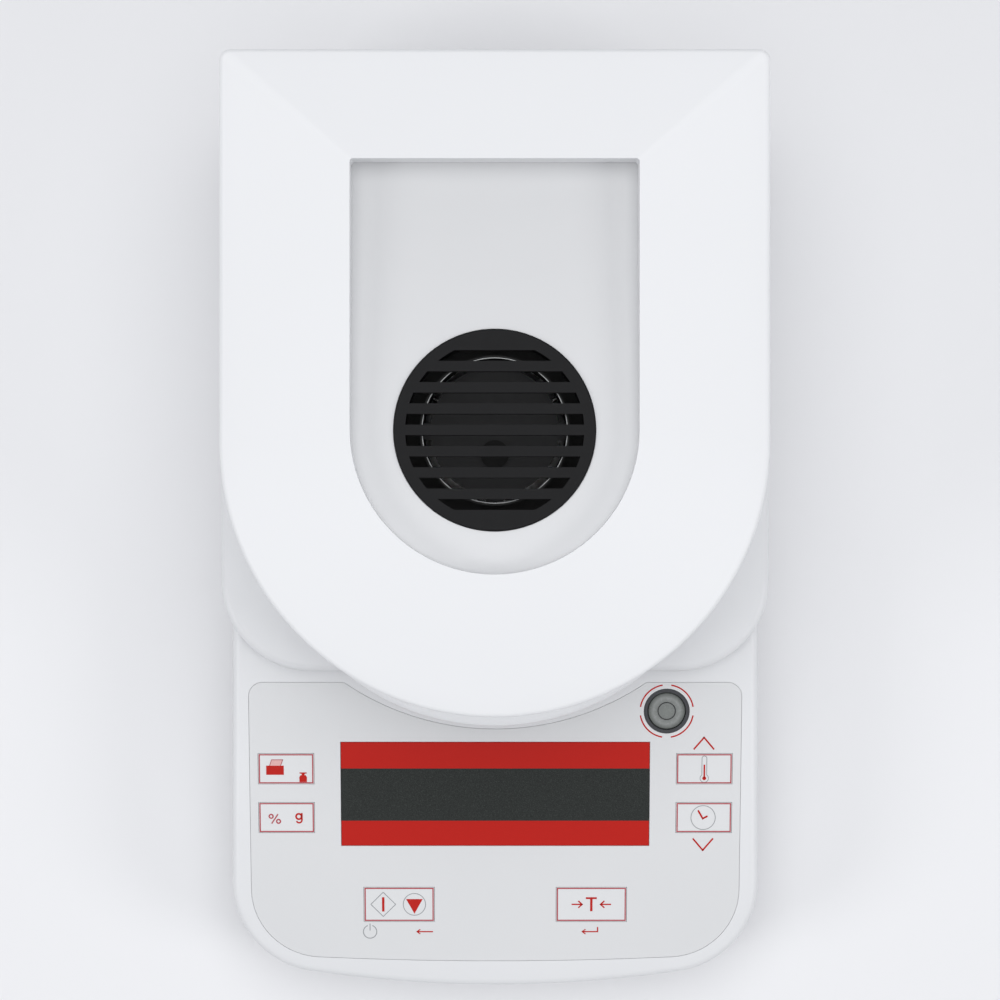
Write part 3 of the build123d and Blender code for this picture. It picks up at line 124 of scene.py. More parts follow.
class Finish:
    """A material under construction, whose last call is done()."""

    def __init__(self, name):
        self.material = bpy.data.materials.new(name)
        self.material.use_nodes = True
        self.tree = self.material.node_tree
        self.shader = self.tree.nodes["Principled BSDF"]

    def node(self, kind, settings=None, sockets=None, output=0):
        made = self.tree.nodes.new(kind)
        for key, value in (settings or {}).items():
            if key == "stops":
                self.stops(made.color_ramp, value)
            else:
                setattr(made, key, value)
        for key, value in (sockets or {}).items():
            self.join(made.inputs[key], value)
        return Socket(self, made.outputs[output])

    @staticmethod
    def stops(ramp, stops):
        while len(ramp.elements) < len(stops):
            ramp.elements.new(0.5)
        for element, (place, colour) in zip(ramp.elements, stops):
            element.position = place
            element.color = (*colour, 1.0)

    def join(self, target, value):
        if isinstance(value, Socket):
            self.tree.links.new(value.output, target)
        elif target.type == "RGBA" and len(value) == 3:
            target.default_value = (*value, 1.0)
        else:
            target.default_value = value

    def place(self, axis=None):
        """Object coordinates in metres, or one axis of them."""
        coords = self.node("ShaderNodeTexCoord", output="Object")
        if axis is None:
            return coords
        return self.node("ShaderNodeSeparateXYZ", sockets={0: coords}, output="XYZ".index(axis))

    def chamber_reach(self):
        """Distance from the chamber's axis, and height."""
        x, y, z = (self.place(axis) for axis in "XYZ")
        side = y - chamber_y * mm
        return (x * x + side * side).maths("SQRT"), z

    def distance(self, centre):
        """Distance from a point given in metres."""
        sockets = {0: self.place(), 1: tuple(centre)}
        offset = self.node("ShaderNodeVectorMath", {"operation": "SUBTRACT"}, sockets)
        return self.node("ShaderNodeVectorMath", {"operation": "LENGTH"}, {0: offset}, output="Value")

    def noise(self, scale, detail=2.0, roughness=0.5, stretch=None):
        """Noise in object space, with scale in bumps to the metre."""
        coords = self.place()
        if stretch is not None:
            coords = self.node("ShaderNodeMapping", sockets={0: coords, "Scale": stretch})
        sockets = {"Vector": coords, "Scale": scale, "Detail": detail, "Roughness": roughness}
        return self.node("ShaderNodeTexNoise", sockets=sockets)

    def mix(self, share, low, high):
        """Colour between two, by a share from 0 to 1."""
        sockets = {0: share, 6: low, 7: high}
        return self.node("ShaderNodeMix", {"data_type": "RGBA"}, sockets, output=2)

    def ramp(self, value, stops):
        return self.node("ShaderNodeValToRGB", {"stops": stops}, {0: value})

    def bump(self, height, depth, strength=1.0, normal=None):
        """Bump of a height from 0 to 1 over a depth in metres."""
        sockets = {"Height": height, "Distance": depth, "Strength": strength}
        if normal is not None:
            sockets["Normal"] = normal
        return self.node("ShaderNodeBump", sockets=sockets)

    def done(self, **sockets):
        for key, value in sockets.items():
            self.join(self.shader.inputs[key.replace("_", " ").title()], value)
        return self.material


def shade(colour, factor):
    """A colour made darker or lighter."""
    return tuple(channel * factor for channel in colour)


# Finishes


def moulded_plastic(name, colour, grain=0.00003, roughness=0.42, texture=2600.0):
    """Injection-moulded housing with a fine spark-eroded texture and faint flow tones."""
    finish = Finish(name)
    flow = finish.noise(14.0, detail=3.0)
    speck = finish.noise(texture, detail=2.0)
    tone = finish.mix(flow, shade(colour, 0.97), shade(colour, 1.02))
    tone = finish.mix((speck > 0.66) * 0.12, tone, shade(colour, 0.9))
    rough = roughness - 0.06 + 0.12 * finish.noise(220.0)
    return finish.done(base_color=tone, roughness=rough, normal=finish.bump(speck, grain, 0.5))


def hood_plastic(name, colour, roughness=0.44):
    """Satin moulding with faint orange peel, painted shade on the floor of the hollow in its roof, darker
    towards its rear, and handling marks.
    """
    finish = Finish(name)
    x, y, z = (finish.place(axis) for axis in "XYZ")
    peel = finish.noise(420.0, detail=1.0)
    flow = finish.noise(9.0, detail=3.0)
    tone = finish.mix(flow, shade(colour, 0.975), shade(colour, 1.015))
    back = (y - hollow_front_y * mm) * (1 / (hollow_length * mm))
    floor = hollow_front_z * mm - back * (hollow_drop * mm)
    # Painted shade: the floor of the roof's hollow is darkened where its walls shade it, more at its deeper
    # rear
    inside = x.near(0.0, hollow_half * mm) * y.between(hollow_start_y * mm, hollow_end_y * mm)
    hollow_floor_shade = inside * (z - floor).near(0.0, 0.5 * mm)
    # Painted shade on the hollow's floor, from lighter at the front to darker at the rear
    tone = finish.mix(hollow_floor_shade, tone, finish.mix(back, shade(colour, 0.86), shade(colour, 0.74)))
    marks = finish.noise(60.0, detail=4.0, stretch=(1.0, 4.0, 1.0))
    rough = roughness - 0.05 + 0.12 * marks
    finish.shader.inputs["Specular IOR Level"].default_value = 0.35
    return finish.done(base_color=tone, roughness=rough, normal=finish.bump(peel, 0.00001, 0.5))


def film(name, colour):
    """Printed polyester film with a fine matt emboss."""
    finish = Finish(name)
    speck = finish.noise(3800.0, detail=2.0)
    cloud = finish.noise(24.0, detail=2.0)
    tone = finish.mix(cloud, shade(colour, 0.98), shade(colour, 1.015))
    tone = finish.mix((speck > 0.62) * 0.18, tone, shade(colour, 0.94))
    rough = 0.36 + 0.1 * speck
    return finish.done(base_color=tone, roughness=rough, normal=finish.bump(speck, 0.000012, 0.5))


def ink(name, colour):
    """Screen-printed ink with slightly uneven cover."""
    finish = Finish(name)
    cover = finish.noise(2600.0, detail=3.0)
    tone = finish.mix(cover, shade(colour, 0.88), shade(colour, 1.1))
    finish.shader.inputs["Specular IOR Level"].default_value = 0.2
    return finish.done(base_color=tone, roughness=0.4 + 0.08 * cover)


def display_window(red, dark):
    """Window with a red printed band above and below a dark liquid-crystal field."""
    finish = Finish("display_window_print")
    y = finish.place("Y")
    speck = finish.noise(4200.0, detail=3.0, roughness=0.7)
    field = y.between(window_low * mm, window_high * mm)
    red_tone = finish.mix(speck, shade(red, 0.86), shade(red, 1.12))
    dark_tone = finish.ramp(speck, [(0.36, shade(dark, 0.7)), (0.52, dark), (0.68, shade(dark, 1.9))])
    tone = finish.mix(field, red_tone, dark_tone)
    rough = 0.34 - 0.1 * field
    finish.shader.inputs["Specular IOR Level"].default_value = 0.18
    return finish.done(base_color=tone, roughness=rough, normal=finish.bump(speck, 0.000008, 0.4))


def black_moulding(name, colour, roughness=0.48):
    """Heat-proof black moulding, slightly dusty."""
    finish = Finish(name)
    speck = finish.noise(2400.0, detail=2.0)
    dust = finish.noise(150.0, detail=5.0, roughness=0.65)
    tone = finish.mix(dust.maths("MULTIPLY", 0.35), colour, shade(colour, 1.9))
    finish.shader.inputs["Specular IOR Level"].default_value = 0.14
    return finish.done(
        base_color=tone, roughness=roughness + 0.14 * speck, normal=finish.bump(speck, 0.00002, 0.5)
    )


def brushed_metal(name, colour, roughness=0.28, stretch=(1.0, 40.0, 40.0), metallic=1.0):
    """Brushed sheet, with its lines along X."""
    finish = Finish(name)
    lines = finish.noise(900.0, detail=3.0, stretch=stretch)
    stains = finish.noise(38.0, detail=4.0)
    tone = finish.mix(lines, shade(colour, 0.82), shade(colour, 1.06))
    tone = finish.mix(stains * 0.2, tone, shade(colour, 0.85))
    rough = roughness - 0.06 + 0.16 * lines
    finish.shader.inputs["Metallic"].default_value = metallic
    return finish.done(base_color=tone, roughness=rough, normal=finish.bump(lines, 0.00001, 0.4))


def bright_metal(name, colour, roughness=0.14):
    """Polished or plated metal with fine smears."""
    finish = Finish(name)
    smear = finish.noise(70.0, detail=5.0)
    fine = finish.noise(1500.0, detail=2.0)
    tone = finish.mix(smear, shade(colour, 0.9), shade(colour, 1.05))
    finish.shader.inputs["Metallic"].default_value = 1.0
    return finish.done(
        base_color=tone, roughness=roughness + 0.14 * smear, normal=finish.bump(fine, 0.000005, 0.3)
    )


def reflector_with_shaded_back(name, colour):
    """Polished reflector towards the heater, and a dull black back that is painted shade of the hollow under
    the hood's roof.
    """
    finish = Finish(name)
    reach, z = finish.chamber_reach()
    cone = reach + (z - cone_low_z * mm) * cone_slope
    # Painted shade: the back of the cone is near-black, standing in for the shade in the hollow under the
    # hood's roof
    back = (cone > cone_radius * mm).maths("MAXIMUM", z > cone_top_z * mm)
    smear = finish.noise(70.0, detail=5.0)
    fibre = finish.noise(900.0, detail=4.0)
    bright = finish.mix(smear, shade(colour, 0.9), shade(colour, 1.05))
    tone = finish.mix(back, bright, finish.mix(fibre, (0.006, 0.006, 0.006), (0.016, 0.016, 0.017)))
    shine = 0.16 + 0.12 * smear
    rough = shine + back * (0.85 - shine)
    return finish.done(base_color=tone, roughness=rough, metallic=1 - back)


def duct_shaded_black(name, colour):
    """Outlet duct painted near-black inside and out as painted shade of the deep outlet, with a bare bright
    rim at its top.
    """
    finish = Finish(name)
    reach, z = finish.chamber_reach()
    rim = (z > rim_z * mm) * (reach < rim_radius * mm)
    soot_and_shade = finish.noise(300.0, detail=4.0)
    # Painted shade: near-black mottled duct standing in for the shade inside the outlet; the rim keeps its
    # metal colour
    tone = finish.mix(rim, finish.mix(soot_and_shade, (0.006, 0.006, 0.006), (0.014, 0.014, 0.014)), colour)
    return finish.done(base_color=tone, roughness=0.7 - 0.35 * rim, metallic=rim * 0.8)


def baffle_disc(name):
    """Baffle in the outlet, painted near-black as the shade deep in the outlet, with a blacker painted spot
    as the shade of a hole.
    """
    finish = Finish(name)
    soot_and_shade = finish.noise(260.0, detail=5.0)
    # Painted shade: the baffle is near-black, standing in for the shade deep in the outlet
    disc = finish.mix(soot_and_shade, (0.02, 0.02, 0.021), (0.045, 0.045, 0.046))
    # Painted shade: a blacker spot standing in for the shade of a hole
    tone = finish.mix(finish.distance(hole_shade_spot) < hole_shade_reach * mm, disc, (0.003, 0.003, 0.003))
    return finish.done(base_color=tone, roughness=0.7 + 0.2 * soot_and_shade)


def heated_metal(name):
    """Sheath of the heating tube, with oxide colours from its work."""
    finish = Finish(name)
    burn = finish.noise(160.0, detail=4.0)
    tone = finish.ramp(
        burn, [(0.3, (0.06, 0.055, 0.06)), (0.5, (0.16, 0.12, 0.1)), (0.7, (0.26, 0.22, 0.2))]
    )
    finish.shader.inputs["Metallic"].default_value = 0.85
    return finish.done(base_color=tone, roughness=0.38 + 0.2 * burn)


def lacquered_steel(name, colour):
    """Dark lacquered steel with small chips of tone."""
    finish = Finish(name)
    grain = finish.noise(1200.0, detail=3.0)
    cloud = finish.noise(90.0, detail=3.0)
    tone = finish.mix(cloud, shade(colour, 0.8), shade(colour, 1.25))
    finish.shader.inputs["Metallic"].default_value = 0.3
    return finish.done(
        base_color=tone, roughness=0.38 + 0.2 * grain, normal=finish.bump(grain, 0.00002, 0.4)
    )


def circuit_board(name):
    """Solder mask with copper tracks showing through as lighter lines."""
    finish = Finish(name)
    x, y = finish.place("X"), finish.place("Y")
    track_pitch, track_share = 0.0036, 0.3
    across = (x + y * 0.35) * (1 / track_pitch)
    track = across.maths("FRACT") < track_share
    patch = finish.noise(110.0, detail=0.0) > 0.52
    tone = finish.mix(track * patch, (0.012, 0.085, 0.035), (0.03, 0.16, 0.07))
    return finish.done(base_color=tone, roughness=0.34 + 0.1 * finish.noise(400.0))


def rubber(name):
    """Black rubber, dusty and matt."""
    finish = Finish(name)
    dust = finish.noise(500.0, detail=4.0)
    tone = finish.mix(dust, (0.02, 0.02, 0.02), (0.06, 0.058, 0.055))
    return finish.done(base_color=tone, roughness=0.7 + 0.2 * dust, normal=finish.bump(dust, 0.00003, 0.5))


def ceramic(name):
    """White fired ceramic and pressed mineral fibre."""
    finish = Finish(name)
    fibre = finish.noise(700.0, detail=4.0, roughness=0.7)
    tone = finish.mix(fibre, (0.66, 0.62, 0.55), (0.86, 0.83, 0.77))
    rough = 0.75 + 0.15 * fibre
    return finish.done(base_color=tone, roughness=rough, normal=finish.bump(fibre, 0.00004, 0.6))


def level_glass(centre):
    """Domed vial: grey liquid, darker to its rim, with a painted ring and the bubble's tiny shade."""
    finish = Finish("level_vial_glass")
    reach = finish.distance(centre)
    share = reach * (1 / (level_radius * mm))
    swirl = finish.noise(650.0, detail=3.0)
    tone = finish.ramp(
        share + (swirl - 0.5) * 0.12,
        [(0.0, (0.2, 0.215, 0.2)), (0.45, (0.17, 0.18, 0.17)), (0.7, (0.25, 0.26, 0.25)),
         (0.86, (0.13, 0.14, 0.13)), (1.0, (0.04, 0.045, 0.04))],
    )
    ring = reach.near(level_mark_radius * mm, level_mark_line * mm)
    tone = finish.mix(ring, tone, (0.004, 0.005, 0.004))
    finish.shader.inputs["Coat Weight"].default_value = 1.0
    finish.shader.inputs["Coat Roughness"].default_value = 0.03
    return finish.done(base_color=tone, roughness=0.22 + 0.1 * swirl)


# Reflector cone and duct rim, in millimetres
cone_low_z = 63.3
cone_radius = 60.4
cone_slope = 0.3931
cone_top_z = 104.4
rim_z = 118.0
rim_radius = 20.72
# Spot of painted shade on the baffle, standing in for a hole
hole_shade_spot = (0.0, 0.0264, 0.1115)
hole_shade_reach = 4.1

# Sizes of what is printed or seated on the panel, in millimetres
window_low = -87.0
window_high = -70.4
level_x = 53.3
level_y = -52.3
level_radius = 6.0
level_mark_radius = 2.7
level_mark_line = 0.17
red_colour = (0.475, 0.014, 0.009)
line_red = (0.42, 0.07, 0.085)
line_grey = (0.30, 0.31, 0.32)
shell_colour = (0.80, 0.805, 0.815)
# Hollow in the hood's roof, whose floor carries painted shade
hollow_half = 40.6
hollow_start_y = -8.0
hollow_end_y = 108.8
hollow_front_y = -7.5
hollow_front_z = 125.0
hollow_length = 116.2
hollow_drop = 4.5


def on_panel(x, y, lift=0.0):
    """Point of the panel's face above a place given by X and Y, raised along its normal."""
    z = panel_mid_z + (y - panel_mid_y) * math.tan(panel_slope)
    return (Vector((x, y, z)) + panel_normal * lift) * mm


finishes = {
    "housing_plastic": moulded_plastic("housing_texture", (0.74, 0.745, 0.755)),
    "hood_plastic": hood_plastic("hood_satin", shell_colour),
    "overlay_film": film("overlay_print", (0.685, 0.69, 0.695)),
    "display_window": display_window(red_colour, (0.027, 0.030, 0.028)),
    "key_film": film("key_print", (0.705, 0.71, 0.715)),
    "black_plastic": black_moulding("grille_black", (0.009, 0.009, 0.0095), 0.55),
    "dark_plastic": black_moulding("connector_grey", (0.055, 0.056, 0.06), 0.4),
    "stainless": brushed_metal("chamber_stainless", (0.60, 0.60, 0.59)),
    "bright_steel": bright_metal("polished_steel", (0.72, 0.72, 0.71)),
    "cell_aluminium": brushed_metal("machined_aluminium", (0.72, 0.73, 0.74), 0.34),
    "pan_aluminium": bright_metal("drawn_aluminium", (0.80, 0.80, 0.81), 0.26),
    "circuit_board": circuit_board("solder_mask"),
    "core_steel": lacquered_steel("lacquered_core", (0.09, 0.085, 0.085)),
    "foot_rubber": rubber("foot_rubber_black"),
    "ceramic": ceramic("fired_ceramic"),
    "level_glass": level_glass(on_panel(level_x, level_y)),
}
own_finishes = {
    "heater_ring": heated_metal("heater_sheath"),
    "reflector": reflector_with_shaded_back("reflector_polish", (0.72, 0.72, 0.71)),
    "vent_chimney": duct_shaded_black("duct_black", (0.2, 0.205, 0.205)),
    "vent_baffle": baffle_disc("baffle_black"),
}

slot_of = {part["node"]: part["material_slot"] for part in frame["record"]["subparts"]}
for name, node in nodes.items():
    node.data.materials.clear()
    node.data.materials.append(own_finishes.get(name) or finishes[slot_of[name]])


# Mesh helpers


def link(name, mesh, material):
    piece = bpy.data.objects.new(name, mesh)
    bpy.context.scene.collection.objects.link(piece)
    mesh.materials.clear()
    mesh.materials.append(material)
    return piece


def smooth_copy(node, angle=32.0, weld=0.000004):
    """A welded copy of a CAD node's mesh with soft shading across its gentle edges."""
    mesh = nodes[node].data.copy()
    work = bmesh.new()
    work.from_mesh(mesh)
    bmesh.ops.remove_doubles(work, verts=work.verts, dist=weld)
    bmesh.ops.dissolve_degenerate(work, edges=work.edges, dist=weld / 4)
    limit = math.radians(angle)
    for face in work.faces:
        face.smooth = True
    for edge in work.edges:
        edge.smooth = len(edge.link_faces) == 2 and edge.calc_face_angle(0.0) < limit
    work.to_mesh(mesh)
    work.free()
    piece = link(f"{node}_skin", mesh, nodes[node].data.materials[0])
    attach(piece, nodes[node]["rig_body"])
    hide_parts(node)
    return piece


class Print:
    """Flat shapes printed on the panel, collected into one thin piece."""

    def __init__(self, name, body, colour_slot, material):
        self.name, self.body, self.slot, self.material = name, body, colour_slot, material
        self.work = bmesh.new()

    def face(self, points):
        """One convex outline, given counter-clockwise seen from above, as a thin closed slab."""
        top = [self.work.verts.new(on_panel(x, y, ink_lift + ink_thick)) for x, y in points]
        low = [self.work.verts.new(on_panel(x, y, ink_lift)) for x, y in points]
        self.work.faces.new(top)
        self.work.faces.new(list(reversed(low)))
        count = len(points)
        for i in range(count):
            j = (i + 1) % count
            self.work.faces.new((low[i], low[j], top[j], top[i]))
        return self

    def slab(self, left, low, right, top):
        """Rectangle between two corners."""
        return self.face([(left, low), (right, low), (right, top), (left, top)])

    def mirrored(self, x, y, corners):
        """Outline that is the same on both sides of X, by its right corners from the lowest up."""
        right = [(x + half, y + rise) for half, rise in corners]
        return self.face(right + [(x - half, y + rise) for half, rise in corners[::-1]])

    def bar(self, start, end, width):
        """Straight stroke between two points."""
        a, b = Vector(start), Vector(end)
        side = (b - a).normalized() * (width / 2)
        side = Vector((-side.y, side.x))
        return self.face([tuple(a - side), tuple(b - side), tuple(b + side), tuple(a + side)])

    def stroke(self, points, width):
        """Strokes through points, lengthened at the inner corners so that they close."""
        for i, (start, end) in enumerate(zip(points, points[1:])):
            a, b = Vector(start), Vector(end)
            step = (b - a).normalized() * (width / 2)
            a = a - step if i else a
            b = b + step if i < len(points) - 2 else b
            self.bar(tuple(a), tuple(b), width)
        return self

    def frame(self, x, y, width, depth, line):
        """Rectangle drawn with a line."""
        right, left, top, low = x + width / 2, x - width / 2, y + depth / 2, y - depth / 2
        self.slab(left, low, right, low + line).slab(left, top - line, right, top)
        self.slab(left, low + line, left + line, top - line)
        return self.slab(right - line, low + line, right, top - line)

    def disc(self, x, y, radius, steps=40):
        turn = [2 * math.pi * i / steps for i in range(steps)]
        return self.face([(x + radius * math.cos(a), y + radius * math.sin(a)) for a in turn])

    def arc(self, x, y, radius, line, start=0.0, end=360.0, steps=48):
        """Part of a ring, by the angles where it starts and ends."""
        turn = [math.radians(start + (end - start) * i / steps) for i in range(steps + 1)]
        inner, outer = radius - line / 2, radius + line / 2
        for a, b in zip(turn, turn[1:]):
            self.face(
                [
                    (x + inner * math.cos(a), y + inner * math.sin(a)),
                    (x + outer * math.cos(a), y + outer * math.sin(a)),
                    (x + outer * math.cos(b), y + outer * math.sin(b)),
                    (x + inner * math.cos(b), y + inner * math.sin(b)),
                ]
            )
        return self

    def made(self):
        bmesh.ops.remove_doubles(self.work, verts=self.work.verts, dist=0.0000002)
        mesh = bpy.data.meshes.new(self.name)
        self.work.to_mesh(mesh)
        self.work.free()
        piece = link(self.name, mesh, self.material)
        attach(piece, self.body)
        return piece


red_ink = ink("red_ink", red_colour)
thin_red_ink = ink("thin_red_ink", line_red)
grey_ink = ink("grey_ink", line_grey)
pink_ink = ink("pale_red_ink", (0.72, 0.42, 0.40))

# Keys: a thin red frame on each cap, with its signs
key_line = 0.38
sign_line = 0.55
keys = {
    "print": (-65.2, -70.5, 17.3, 9.6),
    "unit": (-65.2, -86.0, 17.3, 9.6),
    "temperature": (65.2, -70.5, 17.3, 9.6),
    "time": (65.2, -86.0, 17.3, 9.6),
    "start": (-30.2, -113.8, 22.0, 11.0),
    "tare": (30.2, -113.8, 22.0, 11.0),
}
for name, (x, y, width, depth) in keys.items():
    border = Print(f"{name}_key_frame", f"{name}_button", "key_film", thin_red_ink)
    border.frame(x, y, width - 0.3, depth - 0.35, key_line).made()


def print_key_signs():
    """A printer with its sheet, and a calibration weight."""
    x, y = keys["print"][:2]
    signs = Print("print_key_signs", "print_button", "key_film", red_ink)
    left, low, wide, tall = x - 6.2, y - 1.9, 5.5, 2.9
    signs.slab(left, low, left + wide, low + tall)
    weight_x, weight_y = x + 5.3, y - 4.2
    signs.mirrored(weight_x, weight_y, [(1.15, 0.0), (1.2, 1.6), (0.75, 2.2)])
    signs.mirrored(weight_x, weight_y, [(0.35, 2.2), (0.6, 2.7)])
    signs.mirrored(weight_x, weight_y, [(1.1, 2.7), (1.1, 3.05)])
    signs.made()
    sheet = Print("print_key_sheet", "print_button", "key_film", pink_ink)
    top = low + tall
    sheet.face([(left + 1.2, top), (left + 4.4, top), (left + 5.0, top + 1.7), (left + 1.8, top + 1.7)])
    sheet.made()
    lines = Print("print_key_lines", "print_button", "key_film", thin_red_ink)
    outline = [(left + 1.1, top), (left + 1.7, top + 1.85), (left + 5.2, top + 1.85), (left + 4.5, top)]
    lines.stroke(outline, 0.22)
    lines.made()


def unit_key_signs():
    """A percent sign and a small letter g, drawn with strokes."""
    x, y = keys["unit"][:2]
    signs = Print("unit_key_signs", "unit_button", "key_film", thin_red_ink)
    percent_x, percent_y = x - 3.7, y - 0.4
    signs.bar((percent_x - 1.0, percent_y - 1.5), (percent_x + 1.0, percent_y + 1.5), 0.38)
    signs.arc(percent_x - 1.15, percent_y + 0.8, 0.6, 0.42)
    signs.arc(percent_x + 1.15, percent_y - 0.8, 0.6, 0.42)
    signs.made()
    letter = Print("unit_key_letter", "unit_button", "key_film", red_ink)
    g_x, g_y = x + 3.8, y + 0.35
    letter.arc(g_x, g_y, 0.85, 0.55)
    letter.bar((g_x + 0.95, g_y + 1.1), (g_x + 0.95, g_y - 1.15), 0.5)
    letter.arc(g_x + 0.1, g_y - 1.15, 0.85, 0.48, 200.0, 360.0, steps=20)
    letter.made()


def temperature_key_signs():
    """A thermometer: a grey outline with a red column and bulb."""
    x, y = keys["temperature"][:2]
    bulb_y, top_y, half, bulb = y - 3.0, y + 3.3, 0.75, 1.3
    outline = Print("temperature_key_outline", "temperature_button", "key_film", grey_ink)
    meet = math.degrees(math.acos(half / bulb))
    outline.arc(x, bulb_y, bulb, 0.2, 180.0 - meet, 360.0 + meet)
    neck_y = bulb_y + bulb * math.sin(math.radians(meet))
    outline.bar((x - half, neck_y), (x - half, top_y), 0.2)
    outline.bar((x + half, neck_y), (x + half, top_y), 0.2)
    outline.arc(x, top_y, half, 0.2, 0.0, 180.0, steps=16)
    outline.made()
    column = Print("temperature_key_column", "temperature_button", "key_film", red_ink)
    column.disc(x, bulb_y, 0.6, steps=24)
    column.bar((x, bulb_y), (x, y + 1.3), 0.5)
    column.made()


def time_key_signs():
    """A clock face with two red hands."""
    x, y = keys["time"][:2]
    face = Print("time_key_outline", "time_button", "key_film", grey_ink)
    face.arc(x - 0.2, y, 3.8, 0.22).made()
    hands = Print("time_key_hands", "time_button", "key_film", red_ink)
    centre = (x - 0.3, y - 0.3)
    hands.stroke([(centre[0] - 1.5, centre[1] + 2.6), centre, (centre[0] + 1.5, centre[1] + 0.8)], sign_line)
    hands.made()


def start_key_signs():
    """A bar in a diamond for start, and a triangle in a circle for stop."""
    x, y = keys["start"][:2]
    outline = Print("start_key_outline", "start_button", "key_film", grey_ink)
    diamond_x, circle_x, reach = x - 5.0, x + 4.8, 3.9
    corners = [(diamond_x, y + reach), (diamond_x - reach, y), (diamond_x, y - reach), (diamond_x + reach, y)]
    for a, b in zip(corners, corners[1:] + corners[:1]):
        outline.bar(a, b, 0.22)
    outline.arc(circle_x, y, 3.5, 0.22)
    outline.made()
    signs = Print("start_key_signs", "start_button", "key_film", red_ink)
    signs.bar((diamond_x, y - 2.3), (diamond_x, y + 2.3), 0.75)
    signs.face([(circle_x, y - 3.0), (circle_x + 2.6, y + 1.7), (circle_x - 2.6, y + 1.7)])
    signs.made()


def tare_key_signs():
    """A letter T between two arrows that point at it."""
    x, y = keys["tare"][:2]
    signs = Print("tare_key_signs", "tare_button", "key_film", red_ink)
    signs.bar((x - 1.7, y + 2.0), (x + 1.7, y + 2.0), 0.6)
    signs.bar((x, y + 1.8), (x, y - 2.2), 0.75)
    for side in (-1, 1):
        tip, tail, wing = x + side * 2.9, x + side * 6.2, 1.1
        signs.bar((tail, y), (tip + side * 0.3, y), 0.42)
        signs.stroke([(tip + side * 1.2, y + wing), (tip, y), (tip + side * 1.2, y - wing)], 0.42)
    signs.made()


for draw in (
    print_key_signs,
    unit_key_signs,
    temperature_key_signs,
    time_key_signs,
    start_key_signs,
    tare_key_signs,
):
    draw()


def panel_signs():
    """What is printed on the overlay between the keys."""
    right_x, chevron_half, chevron_rise = 65.0, 3.17, 3.76
    reds = Print("panel_arrows", "base", "overlay_film", red_ink)
    for tip_y, rise in ((-60.6, -chevron_rise), (-96.4, chevron_rise)):
        left_end, right_end = ((right_x + side * chevron_half, tip_y + rise) for side in (-1, 1))
        reds.stroke([left_end, (right_x, tip_y), right_end], 0.5)
    arrow_y, arrow_left, enter_left, arrow_length, shaft = -122.6, -24.6, 27.4, 5.0, 0.38
    for tip_x in (arrow_left, enter_left):
        reds.bar((tip_x + 0.2, arrow_y), (tip_x + arrow_length, arrow_y), shaft)
        head_high, head_low = ((tip_x + 1.0, arrow_y + rise) for rise in (0.75, -0.75))
        reds.stroke([head_high, (tip_x, arrow_y), head_low], 0.34)
    hook_x = enter_left + arrow_length - shaft / 2
    reds.bar((hook_x, arrow_y), (hook_x, arrow_y + 1.5), shaft)
    ring_radius, ring_line, gap = 8.27, 0.43, 9.4
    for quarter in (0.0, 90.0, 180.0, 270.0):
        start, end = quarter + gap, quarter + 90.0 - gap
        reds.arc(level_x, level_y, ring_radius, ring_line, start, end, steps=24)
    reds.made()
    power_x, power_y, power_radius = -39.4, -122.6, 2.1
    greys = Print("panel_power_sign", "base", "overlay_film", grey_ink)
    greys.arc(power_x, power_y, power_radius, 0.26, 110.0, 430.0)
    greys.bar((power_x, power_y + 0.4), (power_x, power_y + 2.6), 0.26)
    greys.made()


panel_signs()

# Pieces grown by node trees or turned on a lathe, where the plain solid lacks detail


